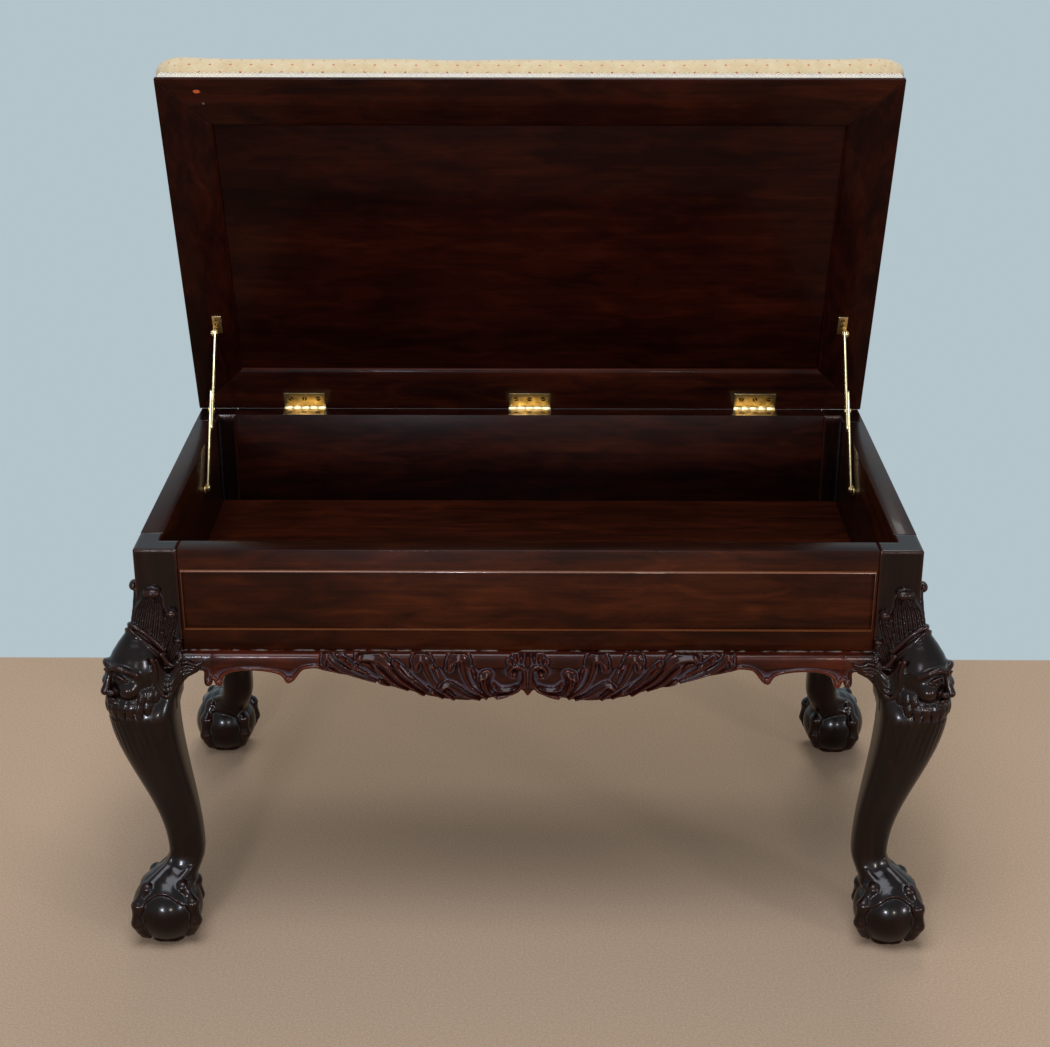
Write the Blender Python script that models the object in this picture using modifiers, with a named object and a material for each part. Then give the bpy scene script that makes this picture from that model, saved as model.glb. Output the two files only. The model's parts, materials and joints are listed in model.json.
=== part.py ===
# Duet stool: a mahogany box stool for two players.
# The upholstered lid turns on three butt hinges and is held open by two folding stays.
# Metres, +Z up. The origin lies on the floor under the middle of the case, with the front towards -Y.
import bpy
import bmesh
from math import atan2, cos, pi, radians, sin
from mathutils import Matrix, Vector

# Case
CASE_WIDTH = 0.800
CASE_DEPTH = 0.435
RIM_HEIGHT = 0.464
RAIL_HEIGHT = 0.112
WALL = 0.024
POST_WIDTH = 0.0445
FIT = 0.0003  # gap kept between pieces that touch

# Floor of the storage well
FLOOR_RISE = 0.001  # top of the board above the rails' lower edge
FLOOR_THICK = 0.010
CLEAT_INSET = 0.210  # ends of a cleat from the sides of the case
CLEAT_SIZE = 0.012

# Bead frame on the front rail
BEAD_WIDTH = 0.004
BEAD_PROUD = 0.0023
BEAD_SIDE = 0.0015  # from the rail's ends
BEAD_TOP = 0.0215  # from the rim
BEAD_BOTTOM = 0.0225  # from the rail's lower edge

# Aprons and knee brackets
APRON_PROUD = 0.010
APRON_THICK = 0.030
APRON_ROUND = 0.006
BRACKET_END = 0.074  # from the case's corner
FRONT_DRAWN = 0.3257  # half length of the front apron that its outline is drawn on
SIDE_DRAWN = 0.1432  # the same for the side aprons

# Legs: distances marked out and in are measured from the case's corner, positive towards the inside
ANKLE_HEIGHT = 0.100
ANKLE_OUT = 0.008
ANKLE_IN = 0.046
ANKLE_ROOT = 0.018  # half width of the leg where it ends inside the ball
KNEE_DROP = 0.052  # widest part of the knee below the rails
KNEE_OUT = -0.036
KNEE_IN = 0.0343
KNEE_EASE = 0.9  # share of the leg's height where its inner side is narrowest
KNEE_BLOCK = 0.022  # depth of the square block below the rails
ANKLE_SQUARE = 3.0  # how square the section is, from 2 for round
KNEE_SQUARE = 4.5
CROWN_SINK = 0.006  # the swell ends this far inside the post
CROWN_RISE = 0.043  # where the knee's swell dies into the post, above the rails' lower edge

# Claw-and-ball feet
BALL_RADIUS = 0.039
BALL_INSET = 0.005
SOLE_DEPTH = 0.0015  # depth of the flat that the ball stands on
TOE_RADIUS = 0.0075
TOE_KNUCKLE = 0.0025
TALON_RADIUS = 0.0035
TOE_PROUD = 0.0026  # middle of a toe outside the ball
TOE_START = radians(22)  # from the top of the ball
TOE_SWEEP = radians(116)

# Knee masks
HEAD_DROP = 0.032  # middle of the head below the rails
HEAD_HEIGHT = 0.078
HEAD_WIDTH = 0.050
HEAD_REACH = 0.045  # front of the face from the case's corner, along the diagonal
NOSE_PROUD = 0.0055
BEARD_DROP = 0.066
BEARD_LENGTH = 0.046
BEARD_REACH = 0.0285  # middle of the beard, along the diagonal
BEARD_DEPTH = 0.018
FEATHER_PROUD = 0.007
FEATHER_ROUND = 0.0055

# Lid
LID_OPEN = radians(72.1)
LID_SIDE = 0.003  # overhang at each side
LID_FRONT = 0.005  # overhang at the front
LID_GAP = 0.0008  # between rim and lid when shut
FRAME_THICK = 0.020
MEMBER_FLAT = 0.050
MOULDING_WIDTH = 0.007
PANEL_RECESS = 0.005
PANEL_THICK = 0.008
GROOVE_DEPTH = 0.006
MOULDING_EDGE = 0.0015
LIP_THICK = 0.0053
LIP_WIDTH = 0.004

# Upholstery
COVER_THICK = 0.0012
GIMP_WIDTH = 0.015
GIMP_THICK = 0.0018
PAD_HEIGHT = 0.058  # above the lid's underside
PAD_CROWN = 0.006
PAD_ROUND = 0.014
PAD_BULGE = 0.0055
PAD_CORNER = 0.018
PAD_DRAW = 0.002  # how far the sides are drawn in between the corners

# Hinges
HINGE_LENGTH = 0.050
HINGE_INSET = 0.1264  # middle of an outer hinge from the side of the case
LEAF_WIDTH = 0.022  # from the pin
LEAF_THICK = 0.0016
KNUCKLE_RADIUS = 0.003
KNUCKLE_COUNT = 5
PIN_RADIUS = 0.0016
PIN_CLEARANCE = 0.0001

# Stays
STAY_LID_PLACE = 0.116  # lid pivot from the hinge pin, along the lid
STAY_LID_DROP = 0.0075  # lid pivot from the lid's underside
STAY_CASE_PLACE = 0.1445  # case pivot from the back of the case
STAY_CASE_DROP = 0.0475  # case pivot below the rim
ARM_WIDTH = 0.009
ARM_THICK = 0.002
ARM_TAIL = 0.020  # how far each arm runs on past the elbow
PLATE_THICK = 0.002
PLATE_LENGTH = 0.024
PLATE_WIDTH = 0.011
RIVET_RADIUS = 0.0018
RIVET_CLEARANCE = 0.0001
RIVET_HEAD = 0.0036
RIVET_HEAD_THICK = 0.0012

# Faces round a cylinder or along an arc
FACETS = 12
ARC_STEPS = 6

# Places that follow from the sizes
HALF_WIDTH = CASE_WIDTH / 2
HALF_DEPTH = CASE_DEPTH / 2
RAIL_BOTTOM = RIM_HEIGHT - RAIL_HEIGHT
FLOOR_TOP = RAIL_BOTTOM + FLOOR_RISE
FLOOR_BOTTOM = FLOOR_TOP - FLOOR_THICK
APRON_TOP = RAIL_BOTTOM - FIT
PIN_Y = HALF_DEPTH  # the pins lie along the back edge of the rim, so that no slit shows when the lid is open
PIN_Z = RIM_HEIGHT + LID_GAP / 2
LID_LENGTH = CASE_DEPTH + LID_FRONT
LID_UNDER = LID_GAP / 2
HINGE_SPACING = HALF_WIDTH - HINGE_INSET
CLEAT_LENGTH = CASE_WIDTH - 2 * CLEAT_INSET
LID_WIDTH = CASE_WIDTH + 2 * LID_SIDE
MEMBER_WIDTH = MEMBER_FLAT + MOULDING_WIDTH

# Materials: colour, roughness, metallic
FINISHES = {
    "polished_mahogany": ((0.050, 0.013, 0.007), 0.25, 0.0),
    "aged_brass": ((0.55, 0.38, 0.15), 0.35, 1.0),
    "cream_fabric": ((0.78, 0.66, 0.42), 0.9, 0.0),
    "gimp_braid": ((0.80, 0.76, 0.66), 0.9, 0.0),
    "stuffing": ((0.60, 0.50, 0.36), 1.0, 0.0),
}

AXIS_TURN = {
    "X": Matrix(((0, 0, 1), (1, 0, 0), (0, 1, 0))),
    "Y": Matrix(((1, 0, 0), (0, 0, -1), (0, 1, 0))),
    "Z": Matrix.Identity(3),
}
SWAP_SIDES = Matrix(((0, 1, 0, 0), (1, 0, 0, 0), (0, 0, 1, 0), (0, 0, 0, 1)))  # swaps X and Y


def clear_scene():
    for thing in list(bpy.data.objects):
        bpy.data.objects.remove(thing, do_unlink=True)


def make_material(name):
    colour, roughness, metallic = FINISHES[name]
    material = bpy.data.materials.new(name)
    material.use_nodes = True
    shader = material.node_tree.nodes["Principled BSDF"]
    shader.inputs["Base Color"].default_value = (*colour, 1)
    shader.inputs["Roughness"].default_value = roughness
    shader.inputs["Metallic"].default_value = metallic
    return material


def as_mesh(bm):
    bmesh.ops.recalc_face_normals(bm, faces=bm.faces)
    mesh = bpy.data.meshes.new("solid")
    bm.to_mesh(mesh)
    bm.free()
    return mesh


def box(low, high):
    bm = bmesh.new()
    bmesh.ops.create_cube(bm, size=1)
    size = Vector(high) - Vector(low)
    bmesh.ops.scale(bm, vec=size, verts=bm.verts)
    bmesh.ops.translate(bm, vec=Vector(low) + size / 2, verts=bm.verts)
    return as_mesh(bm)


def rod(radius, low, high, centre=(0, 0), facets=FACETS):
    # A cylinder along X, between two values of X.
    bm = bmesh.new()
    size = {"radius1": radius, "radius2": radius, "depth": high - low}
    bmesh.ops.create_cone(bm, cap_ends=True, segments=facets, **size)
    bmesh.ops.rotate(bm, cent=(0, 0, 0), matrix=Matrix.Rotation(pi / 2, 3, "Y"), verts=bm.verts)
    bmesh.ops.translate(bm, vec=((low + high) / 2, *centre), verts=bm.verts)
    return as_mesh(bm)


def ball(centre, radii, around=12, down=8, turn=None):
    bm = bmesh.new()
    bmesh.ops.create_uvsphere(bm, u_segments=around, v_segments=down, radius=1)
    bmesh.ops.scale(bm, vec=radii, verts=bm.verts)
    if turn:
        bmesh.ops.rotate(bm, cent=(0, 0, 0), matrix=turn, verts=bm.verts)
    bmesh.ops.translate(bm, vec=centre, verts=bm.verts)
    return as_mesh(bm)


def curve_mesh(curve):
    holder = bpy.data.objects.new("curve", curve)
    PARTS.objects.link(holder)
    mesh = bpy.data.meshes.new_from_object(holder.evaluated_get(bpy.context.evaluated_depsgraph_get()))
    bpy.data.objects.remove(holder, do_unlink=True)
    bm = bmesh.new()
    bm.from_mesh(mesh)
    bmesh.ops.remove_doubles(bm, verts=bm.verts, dist=1e-6)
    bmesh.ops.dissolve_limit(bm, angle_limit=radians(0.1), verts=bm.verts, edges=bm.edges)
    return as_mesh(bm)


def prism(outline, low, high, axis):
    # A flat outline, drawn across the named axis and extruded along it.
    curve = bpy.data.curves.new("outline", "CURVE")
    curve.dimensions = "2D"
    curve.fill_mode = "BOTH"
    curve.extrude = (high - low) / 2
    spline = curve.splines.new("POLY")
    spline.points.add(len(outline) - 1)
    for point, (u, v) in zip(spline.points, outline):
        point.co = (u, v, 0, 1)
    spline.use_cyclic_u = True
    mesh = curve_mesh(curve)
    mesh.transform(AXIS_TURN[axis].to_4x4())
    middle = Vector((0, 0, 0))
    middle["XYZ".index(axis)] = (low + high) / 2
    mesh.transform(Matrix.Translation(middle))
    return mesh


def tube(points, radii, depth):
    # A tapered tube with closed ends through the points.
    curve = bpy.data.curves.new("tube", "CURVE")
    curve.dimensions = "3D"
    curve.bevel_depth = depth
    curve.bevel_resolution = 1
    curve.use_fill_caps = True
    spline = curve.splines.new("POLY")
    spline.points.add(len(points) - 1)
    for point, place, radius in zip(spline.points, points, radii):
        point.co = (*place, 1)
        point.radius = radius / depth
    return curve_mesh(curve)


def loft(rings, cyclic=False, open_start=False):
    # Skins matching rings of points, and caps the first and the last unless the loft runs back into itself.
    bm = bmesh.new()
    rows = [[bm.verts.new(point) for point in ring] for ring in rings]
    pairs = list(zip(rows, rows[1:]))
    if cyclic:
        pairs.append((rows[-1], rows[0]))
    for below, above in pairs:
        count = len(below)
        for i in range(count):
            j = (i + 1) % count
            bm.faces.new((below[i], below[j], above[j], above[i]))
    if not cyclic:
        bm.faces.new(rows[-1])
        if not open_start:
            bm.faces.new(rows[0])
    return as_mesh(bm)


def part(name, mesh, finish, parent=None):
    mesh.name = name
    mesh.materials.clear()
    mesh.materials.append(MATERIALS[finish])
    thing = bpy.data.objects.new(name, mesh)
    PARTS.objects.link(thing)
    thing.parent = parent
    return thing


def combine(mesh, tools, operation):
    # Joins or cuts a mesh with others, one after the other.
    for tool in tools:
        target = bpy.data.objects.new("target", mesh)
        helper = bpy.data.objects.new("helper", tool)
        PARTS.objects.link(target)
        PARTS.objects.link(helper)
        boolean = target.modifiers.new("boolean", "BOOLEAN")
        boolean.operation = operation
        boolean.solver = "EXACT"
        boolean.object = helper
        graph = bpy.context.evaluated_depsgraph_get()
        mesh = bpy.data.meshes.new_from_object(target.evaluated_get(graph))
        bpy.data.objects.remove(target, do_unlink=True)
        bpy.data.objects.remove(helper, do_unlink=True)
    return mesh


def turned(mesh, axis, angle):
    copy = mesh.copy()
    copy.transform(Matrix.Rotation(angle, 4, axis))
    return copy


def moved(mesh, offset):
    copy = mesh.copy()
    copy.transform(Matrix.Translation(offset))
    return copy


def flipped(mesh, x=1, y=1):
    # A mirrored copy whose faces still point out.
    copy = mesh.copy()
    copy.transform(Matrix.Diagonal((x, y, 1, 1)))
    if x * y < 0:
        copy.flip_normals()
    return copy


def ease(t):
    t = min(max(t, 0), 1)
    return t * t * (3 - 2 * t)


def blend(a, b, t):
    return a + (b - a) * ease(t)


# Case: rails, floor, bead frame

def add_rails():
    span = HALF_WIDTH - POST_WIDTH - FIT
    run = HALF_DEPTH - POST_WIDTH - FIT
    front = box((-span, -HALF_DEPTH, RAIL_BOTTOM), (span, -HALF_DEPTH + WALL, RIM_HEIGHT))
    part("front_rail", front, "polished_mahogany")
    back = box((-span, HALF_DEPTH - WALL, RAIL_BOTTOM), (span, HALF_DEPTH, RIM_HEIGHT))
    half = HINGE_LENGTH / 2 + FIT
    mortises = []
    room = KNUCKLE_RADIUS + FIT
    for place in hinge_places():
        high = (place + half, HALF_DEPTH + WALL, RIM_HEIGHT + WALL)
        low = (place - half, PIN_Y - LEAF_WIDTH - FIT, RIM_HEIGHT - LEAF_THICK - FIT)
        mortises += [box(low, high), box((place - half, PIN_Y - room, PIN_Z - room), high)]
    part("back_rail", combine(back, mortises, "DIFFERENCE"), "polished_mahogany")
    side = box((-HALF_WIDTH, -run, RAIL_BOTTOM), (-HALF_WIDTH + WALL, run, RIM_HEIGHT))
    part("left_rail", side, "polished_mahogany")
    part("right_rail", flipped(side, x=-1), "polished_mahogany")


def add_floor():
    wide = HALF_WIDTH - WALL - FIT
    deep = HALF_DEPTH - WALL - FIT
    part("floor_board", box((-wide, -deep, FLOOR_BOTTOM), (wide, deep, FLOOR_TOP)), "polished_mahogany")
    face = -HALF_DEPTH - APRON_PROUD + APRON_THICK + FIT
    top = FLOOR_BOTTOM - FIT
    low = (-CLEAT_LENGTH / 2, face, top - CLEAT_SIZE)
    cleat = box(low, (CLEAT_LENGTH / 2, face + CLEAT_SIZE, top))
    part("front_floor_cleat", cleat, "polished_mahogany")
    part("back_floor_cleat", flipped(cleat, y=-1), "polished_mahogany")


def mitred(profile, length):
    # A bar along X whose ends are cut at 45 degrees; the profile's first value runs inwards.
    bar = prism(profile, -length / 2, length / 2, "X")
    for vertex in bar.vertices:
        vertex.co.x -= vertex.co.y if vertex.co.x > 0 else -vertex.co.y
    return bar


def add_bead_frame():
    middle = BEAD_WIDTH / 2
    arc = [pi * step / ARC_STEPS for step in range(ARC_STEPS + 1)]
    profile = [(middle - middle * cos(angle), BEAD_PROUD * sin(angle)) for angle in arc]
    length = CASE_WIDTH - 2 * (POST_WIDTH + FIT + BEAD_SIDE)
    height = RAIL_HEIGHT - BEAD_TOP - BEAD_BOTTOM
    centre = Vector((0, -HALF_DEPTH - FIT, RAIL_BOTTOM + BEAD_BOTTOM + height / 2))
    across = mitred(profile, length - 2 * FIT)
    across.transform(Matrix.Translation((0, -height / 2, 0)))
    upright = mitred(profile, height - 2 * FIT)
    upright.transform(Matrix.Translation((0, -length / 2, 0)))
    stand = Matrix.Translation(centre) @ Matrix.Rotation(pi / 2, 4, "X")
    quarter = {"bottom": 0, "right": 1, "top": 2, "left": 3}
    for side, turns in quarter.items():
        strip = turned(upright if turns % 2 else across, "Z", turns * pi / 2)
        strip.transform(stand)
        part(f"bead_{side}", strip, "polished_mahogany")


# Aprons and brackets: outlines give the distance along the face and the drop below the rails

SCROLL_END = [(0, 0.029), (0.0025, 0.0335), (0.0057, 0.035), (0.0085, 0.0335), (0.0095, 0.029)]
SCROLL_ARCH = [(0.012, 0.0260), (0.022, 0.0217), (0.040, 0.0197), (0.056, 0.0213)]
CARVED_SCROLL = [
    (0.069, 0.0252), (0.0735, 0.0305), (0.078, 0.0340), (0.083, 0.0325), (0.0865, 0.0285),
]
CARVED_RISE = [(0.0915, 0.0215), (0.097, 0.0173), (0.1085, 0.0161)]
CARVED_BELLY = [
    (0.2100, 0.0200), (0.1876, 0.0264), (0.1644, 0.0315), (0.1415, 0.0379), (0.1189, 0.0456),
    (0.0957, 0.0520), (0.0725, 0.0552), (0.0496, 0.0546), (0.0263, 0.0498), (0.0081, 0.0428),
    (0, 0.0500),
]
SIDE_BELLY = [(0.0700, 0.0225), (0.0450, 0.0262), (0.0220, 0.0305), (0, 0.0325)]
BRACKET_EDGE = [
    (0, 0.0325), (0.0038, 0.0284), (0.0126, 0.0210), (0.0193, 0.0199), (0.0205, 0.0240),
    (0.0207, 0.0300), (0.0228, 0.0338), (0.0255, 0.0345), (0.0280, 0.0328), (0.0292, 0.0290),
]


def apron(half, drawn, ends, belly):
    # Ends are measured inwards from the bracket, the belly outwards from the middle; both stretch with it.
    start = half - BRACKET_END - FIT
    stretch = start / drawn
    edge = [(-start + along * stretch, APRON_TOP - drop) for along, drop in ends]
    edge += [(-along * stretch, APRON_TOP - drop) for along, drop in belly]
    mirror = [(-u, v) for u, v in reversed(edge) if u < 0]
    top = [(start, APRON_TOP), (-start, APRON_TOP)]
    return face_rounded(prism(edge + mirror + top, 0, APRON_THICK, "Y"))


def face_rounded(mesh):
    # Rounds the upper edge of the face that looks along -Y.
    bm = bmesh.new()
    bm.from_mesh(mesh)
    near = 1e-6
    top = APRON_TOP - near
    upper = [e for e in bm.edges if all(v.co.y < near and v.co.z > top for v in e.verts)]
    bmesh.ops.bevel(bm, geom=upper, offset=APRON_ROUND, segments=3, profile=0.5, affect="EDGES")
    return as_mesh(bm)


def add_aprons():
    front_ends = SCROLL_END + SCROLL_ARCH + CARVED_SCROLL + CARVED_RISE
    long = apron(HALF_WIDTH, FRONT_DRAWN, front_ends, CARVED_BELLY)
    short = apron(HALF_DEPTH, SIDE_DRAWN, SCROLL_END + SCROLL_ARCH, SIDE_BELLY)
    front = (0, -HALF_DEPTH - APRON_PROUD, 0)
    side = (0, -HALF_WIDTH - APRON_PROUD, 0)
    part("front_apron", moved(long, front), "polished_mahogany")
    part("back_apron", turned(moved(long, front), "Z", pi), "polished_mahogany")
    part("left_apron", turned(moved(short, side), "Z", -pi / 2), "polished_mahogany")
    part("right_apron", turned(moved(short, side), "Z", pi / 2), "polished_mahogany")


def add_brackets():
    start = POST_WIDTH + FIT
    reach = BRACKET_END - start
    scale = reach / BRACKET_EDGE[-1][0]
    edge = [(-HALF_WIDTH + start + along * scale, APRON_TOP - drop) for along, drop in BRACKET_EDGE]
    top = [(-HALF_WIDTH + BRACKET_END, APRON_TOP), (-HALF_WIDTH + start, APRON_TOP)]
    bracket = face_rounded(prism(edge + top, 0, APRON_THICK, "Y"))
    along_front = moved(bracket, (0, -HALF_DEPTH - APRON_PROUD, 0))
    along_side = moved(bracket, (HALF_WIDTH, -APRON_PROUD, 0))
    along_side.transform(Matrix.Translation((-HALF_WIDTH, -HALF_DEPTH, 0)) @ SWAP_SIDES)
    along_side.flip_normals()
    for across, x in (("left", 1), ("right", -1)):
        for along, y in (("front", 1), ("back", -1)):
            part(f"{along}_{across}_face_bracket", flipped(along_front, x, y), "polished_mahogany")
            part(f"{along}_{across}_side_bracket", flipped(along_side, x, y), "polished_mahogany")


# Legs, built at the front left corner with the case's corner at the origin

def leg_ring(height):
    knee = RAIL_BOTTOM - KNEE_DROP
    block = RAIL_BOTTOM - KNEE_BLOCK
    crown = RAIL_BOTTOM + CROWN_RISE
    rise = (height - ANKLE_HEIGHT) / (knee - ANKLE_HEIGHT)
    hidden = POST_WIDTH - 2 * FIT
    out = blend(ANKLE_OUT, KNEE_OUT, rise)
    inner = blend(ANKLE_IN, KNEE_IN, rise / KNEE_EASE)
    if height < ANKLE_HEIGHT:
        fall = (ANKLE_HEIGHT - height) / (ANKLE_HEIGHT - BALL_RADIUS)
        out = blend(ANKLE_OUT, BALL_INSET - ANKLE_ROOT, fall)
        inner = blend(ANKLE_IN, BALL_INSET + ANKLE_ROOT, fall)
    if height > knee:
        out = blend(KNEE_OUT, CROWN_SINK, (height - knee) / (crown - knee))
        inner = blend(KNEE_IN, hidden, (height - knee) / (block - knee))
    middle = (out + inner) / 2
    half = (inner - out) / 2
    squareness = blend(ANKLE_SQUARE, KNEE_SQUARE, rise)
    ring = []
    for step in range(LEG_FACETS):
        angle = 2 * pi * (step + 0.5) / LEG_FACETS
        points = []
        for value in (cos(angle), sin(angle)):
            points.append(middle + half * (abs(value) ** (2 / squareness)) * (1 if value > 0 else -1))
        ring.append((*points, height))
    return ring


KNOB_FACETS = (8, 6)  # round and down a small ball
LEG_FACETS = 18
LEG_ROWS = 14
BALL_FACETS = (16, 10)
TOE_ROWS = 7
DIAGONAL = Vector((-1, -1, 0)).normalized()
DIAGONAL_TURN = Matrix.Rotation(-3 * pi / 4, 3, "Z")  # turns +X to the outward diagonal


def foot_pieces():
    middle = Vector((BALL_INSET, BALL_INSET, BALL_RADIUS - SOLE_DEPTH))
    pieces = [ball(middle, (BALL_RADIUS,) * 3, *BALL_FACETS)]
    for corner in range(4):
        heading = pi / 4 + corner * pi / 2
        points = []
        radii = []
        for step in range(TOE_ROWS):
            share = step / (TOE_ROWS - 1)
            fall = TOE_START + TOE_SWEEP * share
            reach = BALL_RADIUS + TOE_PROUD
            away = Vector((sin(fall) * cos(heading), sin(fall) * sin(heading), cos(fall)))
            points.append(middle + away * reach)
            knuckle = TOE_KNUCKLE if step % 3 == 1 else 0
            radii.append(blend(TOE_RADIUS, TALON_RADIUS, 2 * share - 1) + knuckle)
        pieces.append(tube(points, radii, TOE_RADIUS))
    return pieces


def mask_pieces():
    middle = RAIL_BOTTOM - HEAD_DROP
    half = HEAD_REACH / 2
    skull = DIAGONAL * half + Vector((0, 0, middle))
    pieces = [ball(skull, (half, HEAD_WIDTH / 2, HEAD_HEIGHT / 2), turn=DIAGONAL_TURN)]
    nose = DIAGONAL * (HEAD_REACH - NOSE_PROUD) + Vector((0, 0, middle))
    pieces.append(ball(nose, (2 * NOSE_PROUD, NOSE_PROUD, 2 * NOSE_PROUD), *KNOB_FACETS, DIAGONAL_TURN))
    chin = DIAGONAL * BEARD_REACH + Vector((0, 0, RAIL_BOTTOM - BEARD_DROP))
    pieces.append(ball(chin, (BEARD_DEPTH, HEAD_WIDTH / 3, BEARD_LENGTH / 2), turn=DIAGONAL_TURN))
    return pieces


FEATHERS = [(0.016, 0.066), (0.033, 0.043), (0.0385, 0.012)]  # tips along the face, above the rails
FEATHER_WIDTH = 0.0055  # half the width of a plume
FEATHER_FALL = 0.009  # from a tip down to the notch beside it
CORNER_TIP = 0.072


def feather_pieces():
    # A fan of plumes with curled tips on both faces of the post, and one on the corner between them.
    base = RAIL_BOTTOM - KNEE_BLOCK / 2
    fan = [(POST_WIDTH - FIT, base), (POST_WIDTH - FIT, RAIL_BOTTOM)]
    knobs = []
    for along, rise in reversed(FEATHERS):
        tip = RAIL_BOTTOM + rise
        fan.append((along + FEATHER_WIDTH, tip - FEATHER_FALL / 2))
        fan.append((along + FEATHER_WIDTH / 2, tip))
        fan.append((along - FEATHER_WIDTH / 2, tip))
        fan.append((along - FEATHER_WIDTH, tip - FEATHER_FALL))
        radii = (FEATHER_WIDTH, FEATHER_ROUND, FEATHER_ROUND)
        knobs.append(ball((along, -FEATHER_PROUD, tip), radii, *KNOB_FACETS))
    corner = RAIL_BOTTOM + CORNER_TIP
    fan += [(FEATHER_WIDTH / 2, corner), (-FEATHER_PROUD, corner), (-FEATHER_PROUD, base)]
    pieces = []
    for piece in [prism(fan, -FEATHER_PROUD, FEATHER_PROUD, "Y")] + knobs:
        swapped = piece.copy()
        swapped.transform(SWAP_SIDES)
        swapped.flip_normals()
        pieces += [piece, swapped]
    middle = -FEATHER_PROUD / 2
    pieces.append(ball((middle, middle, corner), (1.5 * FEATHER_ROUND,) * 3, *KNOB_FACETS))
    return pieces


def add_legs():
    start = BALL_RADIUS
    finish = RAIL_BOTTOM + CROWN_RISE
    rings = [leg_ring(start + (finish - start) * row / LEG_ROWS) for row in range(LEG_ROWS + 1)]
    post = box((0, 0, RAIL_BOTTOM - KNEE_BLOCK), (POST_WIDTH, POST_WIDTH, RIM_HEIGHT))
    leg = combine(loft(rings), [post] + mask_pieces() + feather_pieces() + foot_pieces(), "UNION")
    rebate = box((WALL, WALL, FLOOR_BOTTOM - FIT), (2 * POST_WIDTH, 2 * POST_WIDTH, 2 * RIM_HEIGHT))
    floor = box((-1, -1, -1), (1, 1, 0))
    leg = moved(combine(leg, [rebate, floor], "DIFFERENCE"), (-HALF_WIDTH, -HALF_DEPTH, 0))
    for across, x in (("left", 1), ("right", -1)):
        for along, y in (("front", 1), ("back", -1)):
            part(f"{along}_{across}_leg", flipped(leg, x, y), "polished_mahogany")


# Lid: built shut, about the hinge pin, and turned open by its empty

def hinge_places():
    return [-HINGE_SPACING, 0, HINGE_SPACING]


def member_profile():
    edge = MEMBER_WIDTH
    groove = edge - GROOVE_DEPTH
    hollow = PANEL_RECESS - MOULDING_EDGE
    profile = [(0, 0), (MEMBER_FLAT, 0)]
    for step in range(1, ARC_STEPS + 1):
        angle = pi / 2 * step / ARC_STEPS
        profile.append((MEMBER_FLAT + MOULDING_WIDTH * sin(angle), hollow * (1 - cos(angle))))
    profile += [(edge, PANEL_RECESS - FIT), (groove, PANEL_RECESS - FIT)]
    profile += [(groove, PANEL_RECESS + PANEL_THICK + FIT), (edge, PANEL_RECESS + PANEL_THICK + FIT)]
    profile += [(edge, FRAME_THICK), (LIP_WIDTH, FRAME_THICK), (LIP_WIDTH, LIP_THICK), (0, LIP_THICK)]
    return profile


def add_lid_frame(lid):
    long_bar = mitred(member_profile(), LID_WIDTH - 2 * FIT)
    short_bar = mitred(member_profile(), LID_LENGTH - 2 * FIT)
    long_bar.transform(Matrix.Translation((0, -LID_LENGTH / 2, LID_UNDER)))
    short_bar.transform(Matrix.Translation((0, -LID_WIDTH / 2, LID_UNDER)))
    centre = Vector((0, -LID_LENGTH / 2, 0))
    back = moved(turned(long_bar, "Z", pi), centre)
    half = HINGE_LENGTH / 2 + FIT
    mortises = []
    room = KNUCKLE_RADIUS + FIT
    for place in hinge_places():
        high = (place + half, WALL, LID_UNDER + LEAF_THICK + FIT)
        mortises.append(box((place - half, -LEAF_WIDTH - FIT, -WALL), high))
        mortises.append(box((place - half, -room, -WALL), (place + half, WALL, room)))
    part("lid_front_member", moved(long_bar, centre), "polished_mahogany", lid)
    part("lid_back_member", combine(back, mortises, "DIFFERENCE"), "polished_mahogany", lid)
    part("lid_left_member", moved(turned(short_bar, "Z", -pi / 2), centre), "polished_mahogany", lid)
    part("lid_right_member", moved(turned(short_bar, "Z", pi / 2), centre), "polished_mahogany", lid)
    inset = MEMBER_WIDTH - GROOVE_DEPTH + FIT
    low = Vector((-LID_WIDTH / 2 + inset, -LID_LENGTH / 2 + inset, LID_UNDER + PANEL_RECESS)) + centre
    size = Vector((LID_WIDTH - 2 * inset, LID_LENGTH - 2 * inset, PANEL_THICK))
    part("lid_panel", box(low, low + size), "polished_mahogany", lid)


SIDE_STEPS = 7
CORNER_STEPS = 3
ROUND_STEPS = 4
CROWN_STEPS = 5


def pad_ring(inset, height, corner, draw):
    # A rectangle in plan with round corners, its sides drawn in between them.
    wide = LID_WIDTH / 2 - inset
    deep = LID_LENGTH / 2 - inset
    middle = -LID_LENGTH / 2
    corner = min(corner, deep / 2)
    arcs = []
    for turns, (x, y) in enumerate(((1, 1), (-1, 1), (-1, -1), (1, -1))):
        hub = Vector((x * (wide - corner), middle + y * (deep - corner)))
        angles = [pi / 2 * (turns + step / CORNER_STEPS) for step in range(CORNER_STEPS + 1)]
        arcs.append([hub + Vector((cos(angle), sin(angle))) * corner for angle in angles])
    ring = []
    for turns, arc in enumerate(arcs):
        ring += arc
        inward = -Vector((cos(pi / 2 * (turns + 1)), sin(pi / 2 * (turns + 1))))
        for step in range(1, SIDE_STEPS):
            share = step / SIDE_STEPS
            sag = draw * 4 * share * (1 - share)
            ring.append(arc[-1].lerp(arcs[(turns + 1) % 4][0], share) + inward * sag)
    return [(x, y, LID_UNDER + height) for x, y in ring]


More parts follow.
